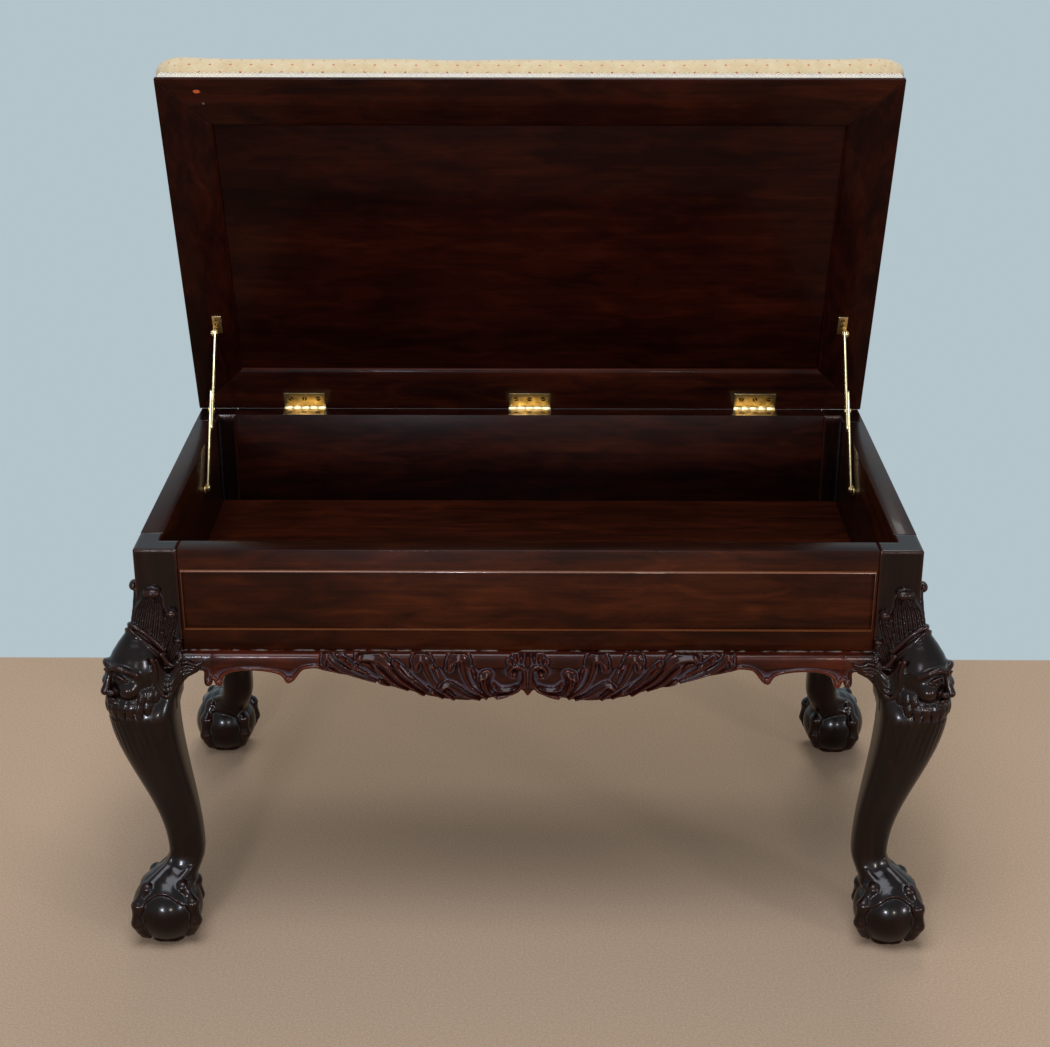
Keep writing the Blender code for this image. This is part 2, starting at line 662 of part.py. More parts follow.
def pad_rings(shrink, base):
    # Rings of the upholstery from its foot up over the crown, all of them moved inwards by the same amount.
    side = LIP_WIDTH - FIT - COVER_THICK
    hem_corner = max(LIP_WIDTH - side - shrink, FIT)
    braid_top = LIP_THICK + FIT + GIMP_WIDTH
    shoulder = PAD_HEIGHT - PAD_CROWN
    bend = shoulder - PAD_ROUND
    swell = side - PAD_BULGE
    round_corner = PAD_CORNER - shrink
    rings = [pad_ring(side + shrink, base, hem_corner, 0)]
    if base < braid_top:
        rings.append(pad_ring(side + shrink, braid_top, hem_corner, 0))
    for step in range(ROUND_STEPS + 1):
        angle = pi / 2 * step / ROUND_STEPS
        inset = swell + PAD_ROUND - (PAD_ROUND - shrink) * cos(angle)
        rings.append(pad_ring(inset, bend + (PAD_ROUND - shrink) * sin(angle), round_corner, PAD_DRAW))
    first = swell + PAD_ROUND
    last = LID_LENGTH / 2 - PAD_CORNER
    for step in range(1, CROWN_STEPS + 1):
        share = step / CROWN_STEPS
        height = PAD_HEIGHT - PAD_CROWN * (1 - share) ** 2 - shrink
        rings.append(pad_ring(first + (last - first) * share, height, round_corner, PAD_DRAW * (1 - share)))
    return rings


def add_upholstery(lid):
    cover = loft(pad_rings(0, LIP_THICK + FIT), open_start=True)
    cover = part("seat_cover", cover, "cream_fabric", lid)
    shell = cover.modifiers.new("shell", "SOLIDIFY")
    shell.thickness = COVER_THICK
    shell.offset = -1
    shell.use_even_offset = True
    frame_top = FRAME_THICK + FIT
    panel_top = PANEL_RECESS + PANEL_THICK + FIT
    plug = [pad_ring(MEMBER_WIDTH + FIT, height, FIT, 0) for height in (panel_top, frame_top)]
    stuffing = loft(plug + pad_rings(COVER_THICK + 2 * FIT, frame_top))
    part("seat_stuffing", stuffing, "stuffing", lid)
    inner = LIP_WIDTH - 2 * FIT - COVER_THICK
    outer = inner - GIMP_THICK
    foot = LIP_THICK + FIT
    band = [(inner, foot), (outer, foot), (outer, foot + GIMP_WIDTH), (inner, foot + GIMP_WIDTH)]
    rings = [pad_ring(inset, height, LIP_WIDTH - inset, 0) for inset, height in band]
    part("gimp_braid", loft(rings, cyclic=True), "gimp_braid", lid)


# Hinges: a leaf is built about the pin, which lies along X

def leaf(side):
    # The leaf in the rim lies below the pin (side -1), the leaf in the lid above it (side 1).
    low, high = sorted((side * LID_GAP / 2, side * (LID_GAP / 2 + LEAF_THICK)))
    half = HINGE_LENGTH / 2
    edge = -KNUCKLE_RADIUS - FIT
    pitch = (HINGE_LENGTH + FIT) / KNUCKLE_COUNT
    pieces = []
    for index in range(0 if side < 0 else 1, KNUCKLE_COUNT, 2):
        start = -half + index * pitch
        finish = start + pitch - FIT
        pieces.append(box((start, edge - KNUCKLE_RADIUS, low), (finish, 0, high)))
        pieces.append(rod(KNUCKLE_RADIUS, start, finish))
    plate = combine(box((-half, -LEAF_WIDTH, low), (half, edge, high)), pieces, "UNION")
    return combine(plate, [rod(PIN_RADIUS + PIN_CLEARANCE, -HINGE_LENGTH, HINGE_LENGTH)], "DIFFERENCE")


def add_hinges(lid):
    axis = Vector((0, PIN_Y, PIN_Z))
    for label, place in zip(("left", "middle", "right"), hinge_places()):
        along = Vector((place, 0, 0))
        part(f"{label}_hinge_case_leaf", moved(leaf(-1), axis + along), "aged_brass")
        part(f"{label}_hinge_lid_leaf", moved(leaf(1), along), "aged_brass", lid)
        pin = rod(PIN_RADIUS, -HINGE_LENGTH / 2, HINGE_LENGTH / 2)
        part(f"{label}_hinge_pin", moved(pin, axis + along), "aged_brass")


# Stays: layers lie side by side inwards from the left wall, and the right stay is their mirror image

WALL_FACE = -HALF_WIDTH + WALL
PLATE_LAYER = (WALL_FACE + FIT, WALL_FACE + FIT + PLATE_THICK)
LOWER_LAYER = (PLATE_LAYER[1] + FIT, PLATE_LAYER[1] + FIT + ARM_THICK)
UPPER_LAYER = (LOWER_LAYER[1] + FIT, LOWER_LAYER[1] + FIT + ARM_THICK)


def lid_pivot_shut():
    return Vector((-STAY_LID_PLACE, LID_UNDER - STAY_LID_DROP))


def lid_pivot_open():
    along, rise = lid_pivot_shut()
    turn = LID_OPEN
    y = PIN_Y + along * cos(turn) + rise * sin(turn)
    return Vector((y, PIN_Z - along * sin(turn) + rise * cos(turn)))


def case_pivot():
    return Vector((HALF_DEPTH - STAY_CASE_PLACE, RIM_HEIGHT - STAY_CASE_DROP))


def strap(low, high, width=ARM_WIDTH):
    # A flat bar with round ends about two points on the Y axis.
    half = width / 2
    outline = []
    for middle, start in ((high, -pi / 2), (low, pi / 2)):
        for step in range(ARC_STEPS + 1):
            angle = start + pi * step / ARC_STEPS
            outline.append((middle + half * cos(angle), half * sin(angle)))
    return outline


def drilled(mesh, places, layer):
    holes = []
    for place in places:
        holes.append(rod(RIVET_RADIUS + RIVET_CLEARANCE, layer[0] - WALL, layer[1] + WALL, (place, 0)))
    return combine(mesh, holes, "DIFFERENCE")


def rivet(low, high, heads, place=0):
    # A shank with a head past one or both of its ends.
    pieces = []
    if "low" in heads:
        pieces.append(rod(RIVET_HEAD, low - FIT - RIVET_HEAD_THICK, low - FIT, (place, 0)))
        low = low - FIT - RIVET_HEAD_THICK / 2
    if "high" in heads:
        pieces.append(rod(RIVET_HEAD, high + FIT, high + FIT + RIVET_HEAD_THICK, (place, 0)))
        high = high + FIT + RIVET_HEAD_THICK / 2
    return combine(rod(RIVET_RADIUS, low, high, (place, 0)), pieces, "UNION")


def lid_bracket():
    along, rise = lid_pivot_shut()
    top = LID_UNDER - FIT
    half = ARM_WIDTH / 2
    lug = [(along + half, top), (along - half, top)]
    for step in range(ARC_STEPS + 1):
        angle = pi + pi * step / ARC_STEPS
        lug.append((along + half * cos(angle), rise + half * sin(angle)))
    near = along + half
    low = (LOWER_LAYER[0], near - PLATE_LENGTH, top - PLATE_THICK)
    foot = box(low, (LOWER_LAYER[0] + PLATE_WIDTH, near, top))
    bracket = combine(foot, [prism(lug, *LOWER_LAYER, "X")], "UNION")
    layer = LOWER_LAYER
    hole = rod(RIVET_RADIUS + RIVET_CLEARANCE, layer[0] - WALL, layer[1] + WALL, (along, rise))
    return combine(bracket, [hole], "DIFFERENCE")


def pivot_empty(name, place, angle):
    empty = bpy.data.objects.new(name, None)
    PARTS.objects.link(empty)
    empty.location = (0, *place)
    empty.rotation_euler = (angle, 0, 0)
    return empty


def add_stays(lid):
    top = lid_pivot_open()
    foot = case_pivot()
    run = foot - top
    arm = run.length / 2
    slope = atan2(run.y, run.x)
    upper_pivot = pivot_empty("upper_arm_pivot", top, slope)
    elbow_pivot = pivot_empty("elbow_pivot", top + run / 2, slope)
    upper = drilled(prism(strap(0, arm + ARM_TAIL), *UPPER_LAYER, "X"), (0, arm), UPPER_LAYER)
    lower = drilled(prism(strap(-ARM_TAIL, arm), *LOWER_LAYER, "X"), (0, arm), LOWER_LAYER)
    plate_half = (PLATE_LENGTH - PLATE_WIDTH) / 2
    plate = prism(strap(-plate_half, plate_half, PLATE_WIDTH), *PLATE_LAYER, "X")
    pieces = [
        ("lid_bracket", lid_bracket(), lid),
        ("upper_arm", upper, upper_pivot),
        ("lid_rivet", rivet(LOWER_LAYER[0], UPPER_LAYER[1], ("low", "high")), upper_pivot),
        ("elbow_rivet", rivet(LOWER_LAYER[0], UPPER_LAYER[1], ("low", "high")), elbow_pivot),
        ("lower_arm", lower, elbow_pivot),
        ("case_rivet", rivet(LOWER_LAYER[0], LOWER_LAYER[1], ("high",), arm), elbow_pivot),
        ("case_bracket", moved(plate, (0, *foot)), None),
    ]
    for label, mesh, parent in pieces:
        part(f"left_stay_{label}", mesh, "aged_brass", parent)
        part(f"right_stay_{label}", flipped(mesh, x=-1), "aged_brass", parent)


def main():
    add_rails()
    add_floor()
    add_bead_frame()
    add_aprons()
    add_brackets()
    add_legs()
    lid = pivot_empty("lid_pivot", (PIN_Y, PIN_Z), -LID_OPEN)
    add_lid_frame(lid)
    add_upholstery(lid)
    add_hinges(lid)
    add_stays(lid)


clear_scene()
MATERIALS = {name: make_material(name) for name in FINISHES}
PARTS = bpy.data.collections.new("duet_stool")
bpy.context.scene.collection.children.link(PARTS)
main()
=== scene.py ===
import json
from math import cos, pi, radians, sin, sqrt

import bmesh
import bpy
import numpy as np
from mathutils import Matrix, Vector
from mathutils.kdtree import KDTree

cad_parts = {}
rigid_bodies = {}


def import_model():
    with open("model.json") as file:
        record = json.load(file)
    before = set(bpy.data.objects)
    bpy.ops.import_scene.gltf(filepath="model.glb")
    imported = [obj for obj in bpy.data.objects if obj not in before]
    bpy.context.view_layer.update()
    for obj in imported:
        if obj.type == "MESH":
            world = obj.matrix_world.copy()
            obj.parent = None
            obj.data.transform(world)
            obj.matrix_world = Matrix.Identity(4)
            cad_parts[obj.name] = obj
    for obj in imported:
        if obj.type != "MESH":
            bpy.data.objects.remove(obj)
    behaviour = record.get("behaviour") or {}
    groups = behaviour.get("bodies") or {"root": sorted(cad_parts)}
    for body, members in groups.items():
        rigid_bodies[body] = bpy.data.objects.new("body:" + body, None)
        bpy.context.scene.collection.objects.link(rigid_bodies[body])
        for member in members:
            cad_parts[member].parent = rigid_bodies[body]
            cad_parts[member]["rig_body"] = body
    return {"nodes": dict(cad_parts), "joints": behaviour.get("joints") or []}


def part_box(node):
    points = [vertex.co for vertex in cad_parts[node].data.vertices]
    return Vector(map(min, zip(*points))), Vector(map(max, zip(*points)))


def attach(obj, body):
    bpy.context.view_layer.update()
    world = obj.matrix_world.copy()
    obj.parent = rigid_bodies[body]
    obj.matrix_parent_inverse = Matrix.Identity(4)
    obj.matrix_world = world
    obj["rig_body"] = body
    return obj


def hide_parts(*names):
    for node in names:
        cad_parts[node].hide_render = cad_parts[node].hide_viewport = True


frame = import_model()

# Duet stool. Carved pieces are laid out in millimetres from the case's front left corner:
# "along" runs along a face from the corner, "depth" into it, and z is the height above the floor.

scene = bpy.context.scene
nodes = frame["nodes"]
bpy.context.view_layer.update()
mm = 0.001


def sizeOf(node, axis, end):
    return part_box(node)[end][axis] / mm


case = {
    "halfWidth": -sizeOf("left_rail", 0, 0),
    "halfDepth": -sizeOf("front_rail", 1, 0),
    "rim": sizeOf("front_rail", 2, 1),
    "railBottom": sizeOf("front_rail", 2, 0),
    "wall": 24.0,
    "fit": 0.3,
}
case["post"] = case["halfWidth"] + sizeOf("front_rail", 0, 0) - case["fit"]


# Materials

def linear(code):
    channels = [int(code[place:place + 2], 16) / 255 for place in (1, 3, 5)]
    return [c / 12.92 if c <= 0.04045 else ((c + 0.055) / 1.055) ** 2.4 for c in channels] + [1]


def addNode(tree, kind, inputs=None, **settings):
    # Each input is a plain value, or the socket that feeds it.
    node = tree.nodes.new(kind)
    for name, value in settings.items():
        setattr(node, name, value)
    for socket, value in (inputs or {}).items():
        if isinstance(value, bpy.types.NodeSocket):
            tree.links.new(value, node.inputs[socket])
        else:
            node.inputs[socket].default_value = value
    return node


def newMaterial(name, **sockets):
    material = bpy.data.materials.new(name)
    material.use_nodes = True
    tree = material.node_tree
    shader = tree.nodes["Principled BSDF"]
    for socket, value in sockets.items():
        shader.inputs[socket.replace("_", " ")].default_value = value
    return material, tree, shader


def ramp(tree, source, stops):
    node = addNode(tree, "ShaderNodeValToRGB", {"Fac": source})
    elements = node.color_ramp.elements
    while len(elements) < len(stops):
        elements.new(0.5)
    for element, (place, code) in zip(elements, stops):
        element.position = place
        element.color = linear(code)
    return node.outputs["Color"]


def band(tree, source, low, high, first=0.0, last=1.0):
    inputs = {"Value": source, "From Min": low, "From Max": high, "To Min": first, "To Max": last}
    return addNode(tree, "ShaderNodeMapRange", inputs).outputs["Result"]


def stretched(tree, spot, scale, detail, roughness=0.55, distortion=0.0):
    # Noise with so many grains to a metre, the same along each axis or one number for each.
    scale = [scale] * 3 if isinstance(scale, float) else scale
    mapping = addNode(tree, "ShaderNodeMapping", {"Vector": spot, "Scale": scale})
    inputs = {"Vector": mapping.outputs["Vector"], "Scale": 1.0, "Detail": detail, "Roughness": roughness,
              "Distortion": distortion}
    return addNode(tree, "ShaderNodeTexNoise", inputs).outputs["Fac"]


def blendColour(tree, share, first, second):
    inputs = {0: share, 6: first, 7: second}
    return addNode(tree, "ShaderNodeMix", inputs, data_type="RGBA", clamp_factor=True).outputs[2]


def finishSurface(tree, shader, colour, height, strength, depth):
    bump = addNode(tree, "ShaderNodeBump", {"Height": height, "Strength": strength, "Distance": depth})
    tree.links.new(colour, shader.inputs["Base Color"])
    for socket in ("Normal", "Coat Normal"):
        tree.links.new(bump.outputs["Normal"], shader.inputs[socket])


# French-polished mahogany: ribbon figure and fine pores along the grain under a glossy shellac film.
# Carved ridges are rubbed redder with a painted highlight, old wax and a painted sheen grey the hollows, and a pale
# line runs along the seam below the rails.
def woodTones(*codes):
    return list(zip((0.36, 0.47, 0.56, 0.70), codes))


woodLook = {
    "tones": woodTones("#0b0302", "#180704", "#270d06", "#39170a"),
    "specular": 0.08, "coat": 0.08, "coatRoughness": 0.07,
    "ribbonLength": 0.55, "ribbonWidth": 0.022, "ribbonShare": 0.30,
    "lineLength": 0.12, "lineWidth": 0.0024, "lineShare": 0.15,
    "mottleLength": 0.07, "mottleWidth": 0.018, "mottleShare": 0.35,
    "cloudShare": 0.20,
    "poreLength": 0.009, "poreWidth": 0.0006, "poreTone": "#0b0302",
    "pores": (0.62, 0.74, 0.0, 0.75), "poreRise": -0.10,
    # rubbed: the ridge colour, for rubbed wear and a painted highlight
    "rubbedAndHighlight": "#3c160b", "rubbedAndHighlightShare": 0.2,
    # wax: old wax greying the hollows, with a painted bluish sheen
    "waxAndSheen": "#3a3638", "waxAndSheenShare": 0.4,
    # aged: darker with age in the carving, and painted shade on the bead's uprights
    "aged": "#150a08", "agedAndShadedShare": 0.75,
    # dust: the colour of a pale broken line along the seam below the rails
    "dust": "#756c64", "seamBreaks": (0.46, 0.58), "kept": "#120503", "shadedRimShare": 0.6,
    "plainRoughness": (0.3, 0.7, 0.30, 0.42), "carvedRoughness": (0.0, 1.0, 0.24, 0.55),
    "waves": 38.0, "plainBump": 0.16, "carvedBump": 0.10, "bumpDepth": 0.0012,
}
# The front is warmer and browner, the bead rubbed to an orange brown, the lid darkest.
frontTones = woodTones("#130502", "#230b03", "#331305", "#4c2109")
beadTones = woodTones("#241007", "#371b0b", "#4a2611", "#5f3419")
wellTones = woodTones("#1a0703", "#2a0f06", "#3a1609", "#50230f")
lidTones = woodTones("#0f0403", "#1d0804", "#2c0f06", "#3e180b")
panelTones = woodTones("#0b0201", "#160402", "#220803", "#331006")
legTones = woodTones("#060202", "#0c0403", "#140704", "#1e0c07")
apronTones = woodTones("#180603", "#2b0c05", "#3c1408", "#501e0d")


def mahogany(name, grain, look=None, carved=False):
    look = {**woodLook, **(look or {})}
    material, tree, shader = newMaterial(name, Specular_IOR_Level=look["specular"], Coat_Weight=look["coat"],
                                         Coat_Roughness=look["coatRoughness"])
    spot = addNode(tree, "ShaderNodeTexCoord").outputs["Object"]
    shift = look.get("shift", (0.0, 0.0, 0.0))
    shifted = addNode(tree, "ShaderNodeVectorMath", {0: spot, 1: shift}, operation="ADD").outputs["Vector"]

    def grained(part, *noise):
        scale = [1 / look[part + "Width"]] * 3
        scale["XYZ".index(grain)] = 1 / look[part + "Length"]
        return stretched(tree, shifted, scale, *noise)

    def paint(layer):
        return addNode(tree, "ShaderNodeAttribute", attribute_name=layer).outputs["Fac"]

    clouds = stretched(tree, shifted, 5.0, 2.0, 0.5)
    parts = {"ribbon": grained("ribbon", 3.0, 0.5, 0.6), "line": grained("line", 4.0, 0.6, 0.3),
             "mottle": grained("mottle", 3.0, 0.6, 0.8), "cloud": clouds}
    figure = 0.0
    for part, source in parts.items():
        inputs = {0: source, 1: look[part + "Share"], 2: figure}
        figure = addNode(tree, "ShaderNodeMath", inputs, operation="MULTIPLY_ADD").outputs[0]
    pores = band(tree, grained("pore", 2.0, 0.5), *look["pores"])
    colour = blendColour(tree, pores, ramp(tree, figure, look["tones"]), linear(look["poreTone"]))
    # Bevelled edges and carved ridges take the rubbed colour: rubbed wear and a painted highlight.
    layers = [("ridge", clouds, "rubbedAndHighlight")]
    if carved:
        seamBreaks = band(tree, stretched(tree, shifted, 70.0, 2.0), *look["seamBreaks"])
        # Carved layers: aged darkening that is also painted shade on the bead's uprights, rubbed ridges with a painted
        # highlight, old wax with a painted sheen in the hollows, and a pale seam line.
        layers += [("aged", look["agedAndShadedShare"], "aged"), ("ridge", look["rubbedAndHighlightShare"], "rubbedAndHighlight"),
                   ("hollow", look["waxAndSheenShare"], "waxAndSheen"), ("dust", seamBreaks, "dust")]
        roughness = band(tree, paint("hollow"), *look["carvedRoughness"])
    else:
        roughness = band(tree, clouds, *look["plainRoughness"])
    for layer, share, tone in layers:
        inputs = {0: paint(layer), 1: share}
        strength = addNode(tree, "ShaderNodeMath", inputs, operation="MULTIPLY").outputs[0]
        colour = blendColour(tree, strength, colour, linear(look[tone]))
    for peg in look.get("pegs", ()):
        colour = pegMark(tree, spot, colour, peg)
    for chip in look.get("chips", ()):
        colour = chipMark(tree, spot, colour, chip)
    # Painted shade: the rim's top face is painted darker in the kept colour.
    if "rim" in look:
        height = addNode(tree, "ShaderNodeSeparateXYZ", {"Vector": spot}).outputs["Z"]
        share = band(tree, height, look["rim"] - 0.0006, look["rim"] - 0.0002, 0.0, look["shadedRimShare"])
        colour = blendColour(tree, share, colour, linear(look["kept"]))
    tree.links.new(roughness, shader.inputs["Roughness"])
    inputs = {0: pores, 1: look["poreRise"], 2: stretched(tree, shifted, look["waves"], 2.0, 0.45)}
    height = addNode(tree, "ShaderNodeMath", inputs, operation="MULTIPLY_ADD").outputs[0]
    finishSurface(tree, shader, colour, height, look["carvedBump" if carved else "plainBump"], look["bumpDepth"])
    return material


def pegMark(tree, spot, colour, peg):
    # A dowel's end shows as a thin dark ring in the polish.
    gap = addNode(tree, "ShaderNodeVectorMath", {0: spot, 1: peg["centre"]}, operation="DISTANCE").outputs["Value"]
    edge = addNode(tree, "ShaderNodeMath", {0: gap, 1: peg["radius"]}, operation="SUBTRACT").outputs[0]
    edge = addNode(tree, "ShaderNodeMath", {0: edge}, operation="ABSOLUTE").outputs[0]
    return blendColour(tree, band(tree, edge, 0.0, 0.0007, 0.7, 0.0), colour, linear("#0a0302"))


def chipMark(tree, spot, colour, chip):
    # A chip in the polish has a ragged edge.
    away = addNode(tree, "ShaderNodeVectorMath", {0: spot, 1: chip["centre"]}, operation="SUBTRACT").outputs[0]
    scale = [1 / size for size in chip["size"]]
    away = addNode(tree, "ShaderNodeVectorMath", {0: away, 1: scale}, operation="MULTIPLY").outputs[0]
    reach = addNode(tree, "ShaderNodeVectorMath", {0: away}, operation="LENGTH").outputs["Value"]
    inputs = {0: reach, 1: stretched(tree, spot, 900.0, 2.0)}
    reach = addNode(tree, "ShaderNodeMath", inputs, operation="ADD").outputs[0]
    return blendColour(tree, band(tree, reach, 1.2, 1.5, 0.9, 0.0), colour, linear(chip["tone"]))


# Aged brass: lacquer worn to a soft shine, with a little brown tarnish in patches and fine brushed lines.
brassTones = [(0.25, "#8a6f3e"), (0.42, "#b0935a"), (0.58, "#c7ab72"), (0.80, "#dcc793")]
stayTones = [(0.25, "#ae9a6c"), (0.42, "#cbb888"), (0.58, "#d9c99c"), (0.80, "#e8dcb8")]
# Screw heads are older and browner than the plates that they hold.
screwTones = [(0.25, "#1e160d"), (0.45, "#35281a"), (0.60, "#4d3c26"), (0.80, "#6a5536")]


def brass(name, tones, brush=0.12):
    material, tree, shader = newMaterial(name, Metallic=1.0)
    spot = addNode(tree, "ShaderNodeTexCoord").outputs["Object"]
    patches = stretched(tree, spot, 130.0, 5.0, 0.6)
    brushed = stretched(tree, spot, (300.0, 2600.0, 300.0), 3.0, 0.6)
    ridge = addNode(tree, "ShaderNodeAttribute", attribute_name="ridge").outputs["Fac"]
    bright = band(tree, ridge, 0.0, 1.0, 0.0, 0.6)
    colour = blendColour(tree, bright, ramp(tree, patches, tones), linear("#f6eac4"))
    tree.links.new(band(tree, patches, 0.3, 0.7, 0.40, 0.26), shader.inputs["Roughness"])
    finishSurface(tree, shader, colour, brushed, brush, 0.0003)
    return material


# Cream seat fabric: a fine rib weave with faint diamond lines and small red-brown and olive dots where they cross.
fabricLook = {
    "diamondWidth": 0.0223, "diamondHeight": 0.0178, "dot": 0.0010, "thread": 0.0006,
    "tones": [(0.3, "#a8936d"), (0.5, "#b09f7b"), (0.7, "#b7a98a")],
    "weft": "#b29a6e", "lattice": "#d6ccb6", "redDot": "#9c4a32", "oliveDot": "#7d6a35",
}


def creamFabric(name):
    look = fabricLook
    material, tree, shader = newMaterial(name, Roughness=0.86, Sheen_Weight=0.25, Sheen_Roughness=0.5)
    spot = addNode(tree, "ShaderNodeUVMap", uv_map="cloth").outputs["UV"]
    split = addNode(tree, "ShaderNodeSeparateXYZ", {"Vector": spot}).outputs
    cells = []
    for axis, size in enumerate((look["diamondWidth"], look["diamondHeight"])):
        node = addNode(tree, "ShaderNodeMath", {0: split[axis], 1: 1 / size}, operation="MULTIPLY")
        cells.append(node.outputs[0])
    gaps = []
    for operation in ("ADD", "SUBTRACT"):
        turned = addNode(tree, "ShaderNodeMath", dict(enumerate(cells)), operation=operation).outputs[0]
        gaps.append(addNode(tree, "ShaderNodeMath", {0: turned, 1: 0.5}, operation="PINGPONG").outputs[0])
    pair = addNode(tree, "ShaderNodeCombineXYZ", dict(enumerate(gaps))).outputs[0]
    reach = addNode(tree, "ShaderNodeVectorMath", {0: pair}, operation="LENGTH").outputs["Value"]
    dotSize = look["dot"] / look["diamondWidth"] * 2
    dots = band(tree, reach, dotSize * 0.8, dotSize * 1.25, 1.0, 0.0)
    closest = addNode(tree, "ShaderNodeMath", dict(enumerate(gaps)), operation="MINIMUM").outputs[0]
    lattice = band(tree, closest, 0.008, 0.030, 0.22, 0.0)
    row = addNode(tree, "ShaderNodeMath", {0: cells[1], 1: 0.5, 2: 0.25}, operation="MULTIPLY_ADD").outputs[0]
    row = addNode(tree, "ShaderNodeMath", {0: row, 1: 0.5}, operation="PINGPONG").outputs[0]
    dye = blendColour(tree, band(tree, row, 0.24, 0.26), linear(look["redDot"]), linear(look["oliveDot"]))
    inputs = {"Vector": spot, "Scale": 1 / look["thread"] / 6.283, "Distortion": 0.6}
    threads = [addNode(tree, "ShaderNodeTexWave", inputs, bands_direction=way).outputs["Fac"] for way in "XY"]
    cloth = addNode(tree, "ShaderNodeMath", dict(enumerate(threads)), operation="MULTIPLY").outputs[0]
    colour = ramp(tree, stretched(tree, spot, 60.0, 4.0, 0.6), look["tones"])
    colour = blendColour(tree, band(tree, cloth, 0.0, 1.0, 0.30, 0.0), colour, linear(look["weft"]))
    colour = blendColour(tree, lattice, colour, linear(look["lattice"]))
    finishSurface(tree, shader, blendColour(tree, dots, colour, dye), cloth, 0.35, 0.0004)
    return material


# Gimp: off-white cotton cord with a fine twist.
def cottonGimp(name):
    material, tree, shader = newMaterial(name, Roughness=0.9, Sheen_Weight=0.3)
    spot = addNode(tree, "ShaderNodeTexCoord").outputs["Object"]
    fibre = stretched(tree, spot, 900.0, 3.0, 0.6)
    soil = band(tree, stretched(tree, spot, 25.0, 3.0, 0.6), 0.45, 0.75, 0.0, 0.4)
    colour = ramp(tree, fibre, [(0.3, "#a89f8e"), (0.55, "#c4beb1"), (0.75, "#cfcabf")])
    finishSurface(tree, shader, blendColour(tree, soil, colour, linear("#d8c7a4")), fibre, 0.5, 0.0004)
    return material


# Meshes from fields and relief maps

def ease(share):
    share = np.clip(share, 0, 1)
    return share * share * (3 - 2 * share)


def between(low, high, share):
    return low + (high - low) * ease(share)


def join(first, second, soft):
    # Smooth union of two solids; a negative field is inside.
    near = np.maximum(soft - np.abs(first - second), 0) / soft
    return np.minimum(first, second) - near * near * soft / 4


def common(first, second, soft):
    return -join(-first, -second, soft)


def smoothLine(points, count):
    # A curve through every point (Catmull-Rom).
    points = np.asarray(points, float)
    padded = np.vstack([2 * points[0] - points[1], points, 2 * points[-1] - points[-2]])
    place = np.linspace(0, len(points) - 1, count)
    first = np.minimum(place.astype(int), len(points) - 2)
    t = (place - first)[:, None]
    p0, p1, p2, p3 = (padded[first + step] for step in range(4))
    bend = (2 * p0 - 5 * p1 + 4 * p2 - p3) * t ** 2 + (3 * p1 - p0 - 3 * p2 + p3) * t ** 3
    return (2 * p1 + (p2 - p0) * t + bend) / 2


def nearLine(across, up, line):
    # Distance to a line in the plane, the side it lies on, and the share of the line's length there.
    best = np.full(np.broadcast(across, up).shape, 1e6)
    side = np.zeros_like(best)
    share = np.zeros_like(best)
    for step in range(len(line) - 1):
        (x0, z0), (dx, dz) = line[step], line[step + 1] - line[step]
        t = np.clip(((across - x0) * dx + (up - z0) * dz) / (dx * dx + dz * dz + 1e-12), 0, 1)
        gapX = across - x0 - t * dx
        gapZ = up - z0 - t * dz
        gap = np.hypot(gapX, gapZ)
        closer = gap < best
        best = np.where(closer, gap, best)
        side = np.where(closer, np.sign(dx * gapZ - dz * gapX), side)
        share = np.where(closer, (step + t) / (len(line) - 1), share)
    return best, side, share


def insideOutline(across, up, outline):
    # Signed distance to a closed outline in the plane, negative inside.
    loop = np.vstack([outline, outline[:1]])
    gap = nearLine(across, up, loop)[0]
    inside = np.zeros(gap.shape, bool)
    for (x0, z0), (x1, z1) in zip(loop[:-1], loop[1:]):
        spans = (z0 > up) != (z1 > up)
        slope = (x1 - x0) / (z1 - z0 if z1 != z0 else 1e-12)
        inside ^= spans & (across < x0 + (up - z0) * slope)
    return np.where(inside, -gap, gap)


def surfaceNet(field, low, step):
    # One point in each cell that the surface crosses, at the mean of the crossings on its edges.
    inside = field < 0
    corners = [(i, j, k) for i in (0, 1) for j in (0, 1) for k in (0, 1)]
    size = [n - 1 for n in field.shape]
    full = np.zeros(size, np.int8)
    for i, j, k in corners:
        full += inside[i:i + size[0], j:j + size[1], k:k + size[2]]
    active = (full > 0) & (full < 8)
    cells = np.argwhere(active)
    values = [field[cells[:, 0] + i, cells[:, 1] + j, cells[:, 2] + k] for i, j, k in corners]
    total = np.zeros((len(cells), 3))
    hits = np.zeros(len(cells))
    for first, start in enumerate(corners):
        for second, end in enumerate(corners):
            if second <= first or sum(abs(s - e) for s, e in zip(start, end)) != 1:
                continue
            f0, f1 = values[first], values[second]
            crossed = (f0 < 0) != (f1 < 0)
            share = np.where(crossed, f0 / np.where(crossed, f0 - f1, 1), 0)
            points = np.array(start) + share[:, None] * (np.array(end) - np.array(start))
            total += points * crossed[:, None]
            hits += crossed
    points = np.array(low) + step * (cells + total / hits[:, None])
    index = np.full(size, -1, np.int32)
    index[active] = np.arange(len(cells))
    quads = []
    for axis in range(3):
        lower = [slice(1, -1)] * 3
        upper = [slice(1, -1)] * 3
        lower[axis] = slice(0, -1)
        upper[axis] = slice(1, None)
        starts = inside[tuple(lower)]
        edges = np.argwhere(starts != inside[tuple(upper)])
        outward = starts[tuple(edges.T)]
        second, third = (axis + 1) % 3, (axis + 2) % 3
        ring = []
        for backSecond, backThird in ((1, 1), (0, 1), (0, 0), (1, 0)):
            cell = edges.copy()
            cell[:, second] += 1 - backSecond
            cell[:, third] += 1 - backThird
            ring.append(index[tuple(cell.T)])
        ring = np.stack(ring, 1)
        quads.append(np.where(outward[:, None], ring, ring[:, ::-1]))
    return points, np.concatenate(quads)


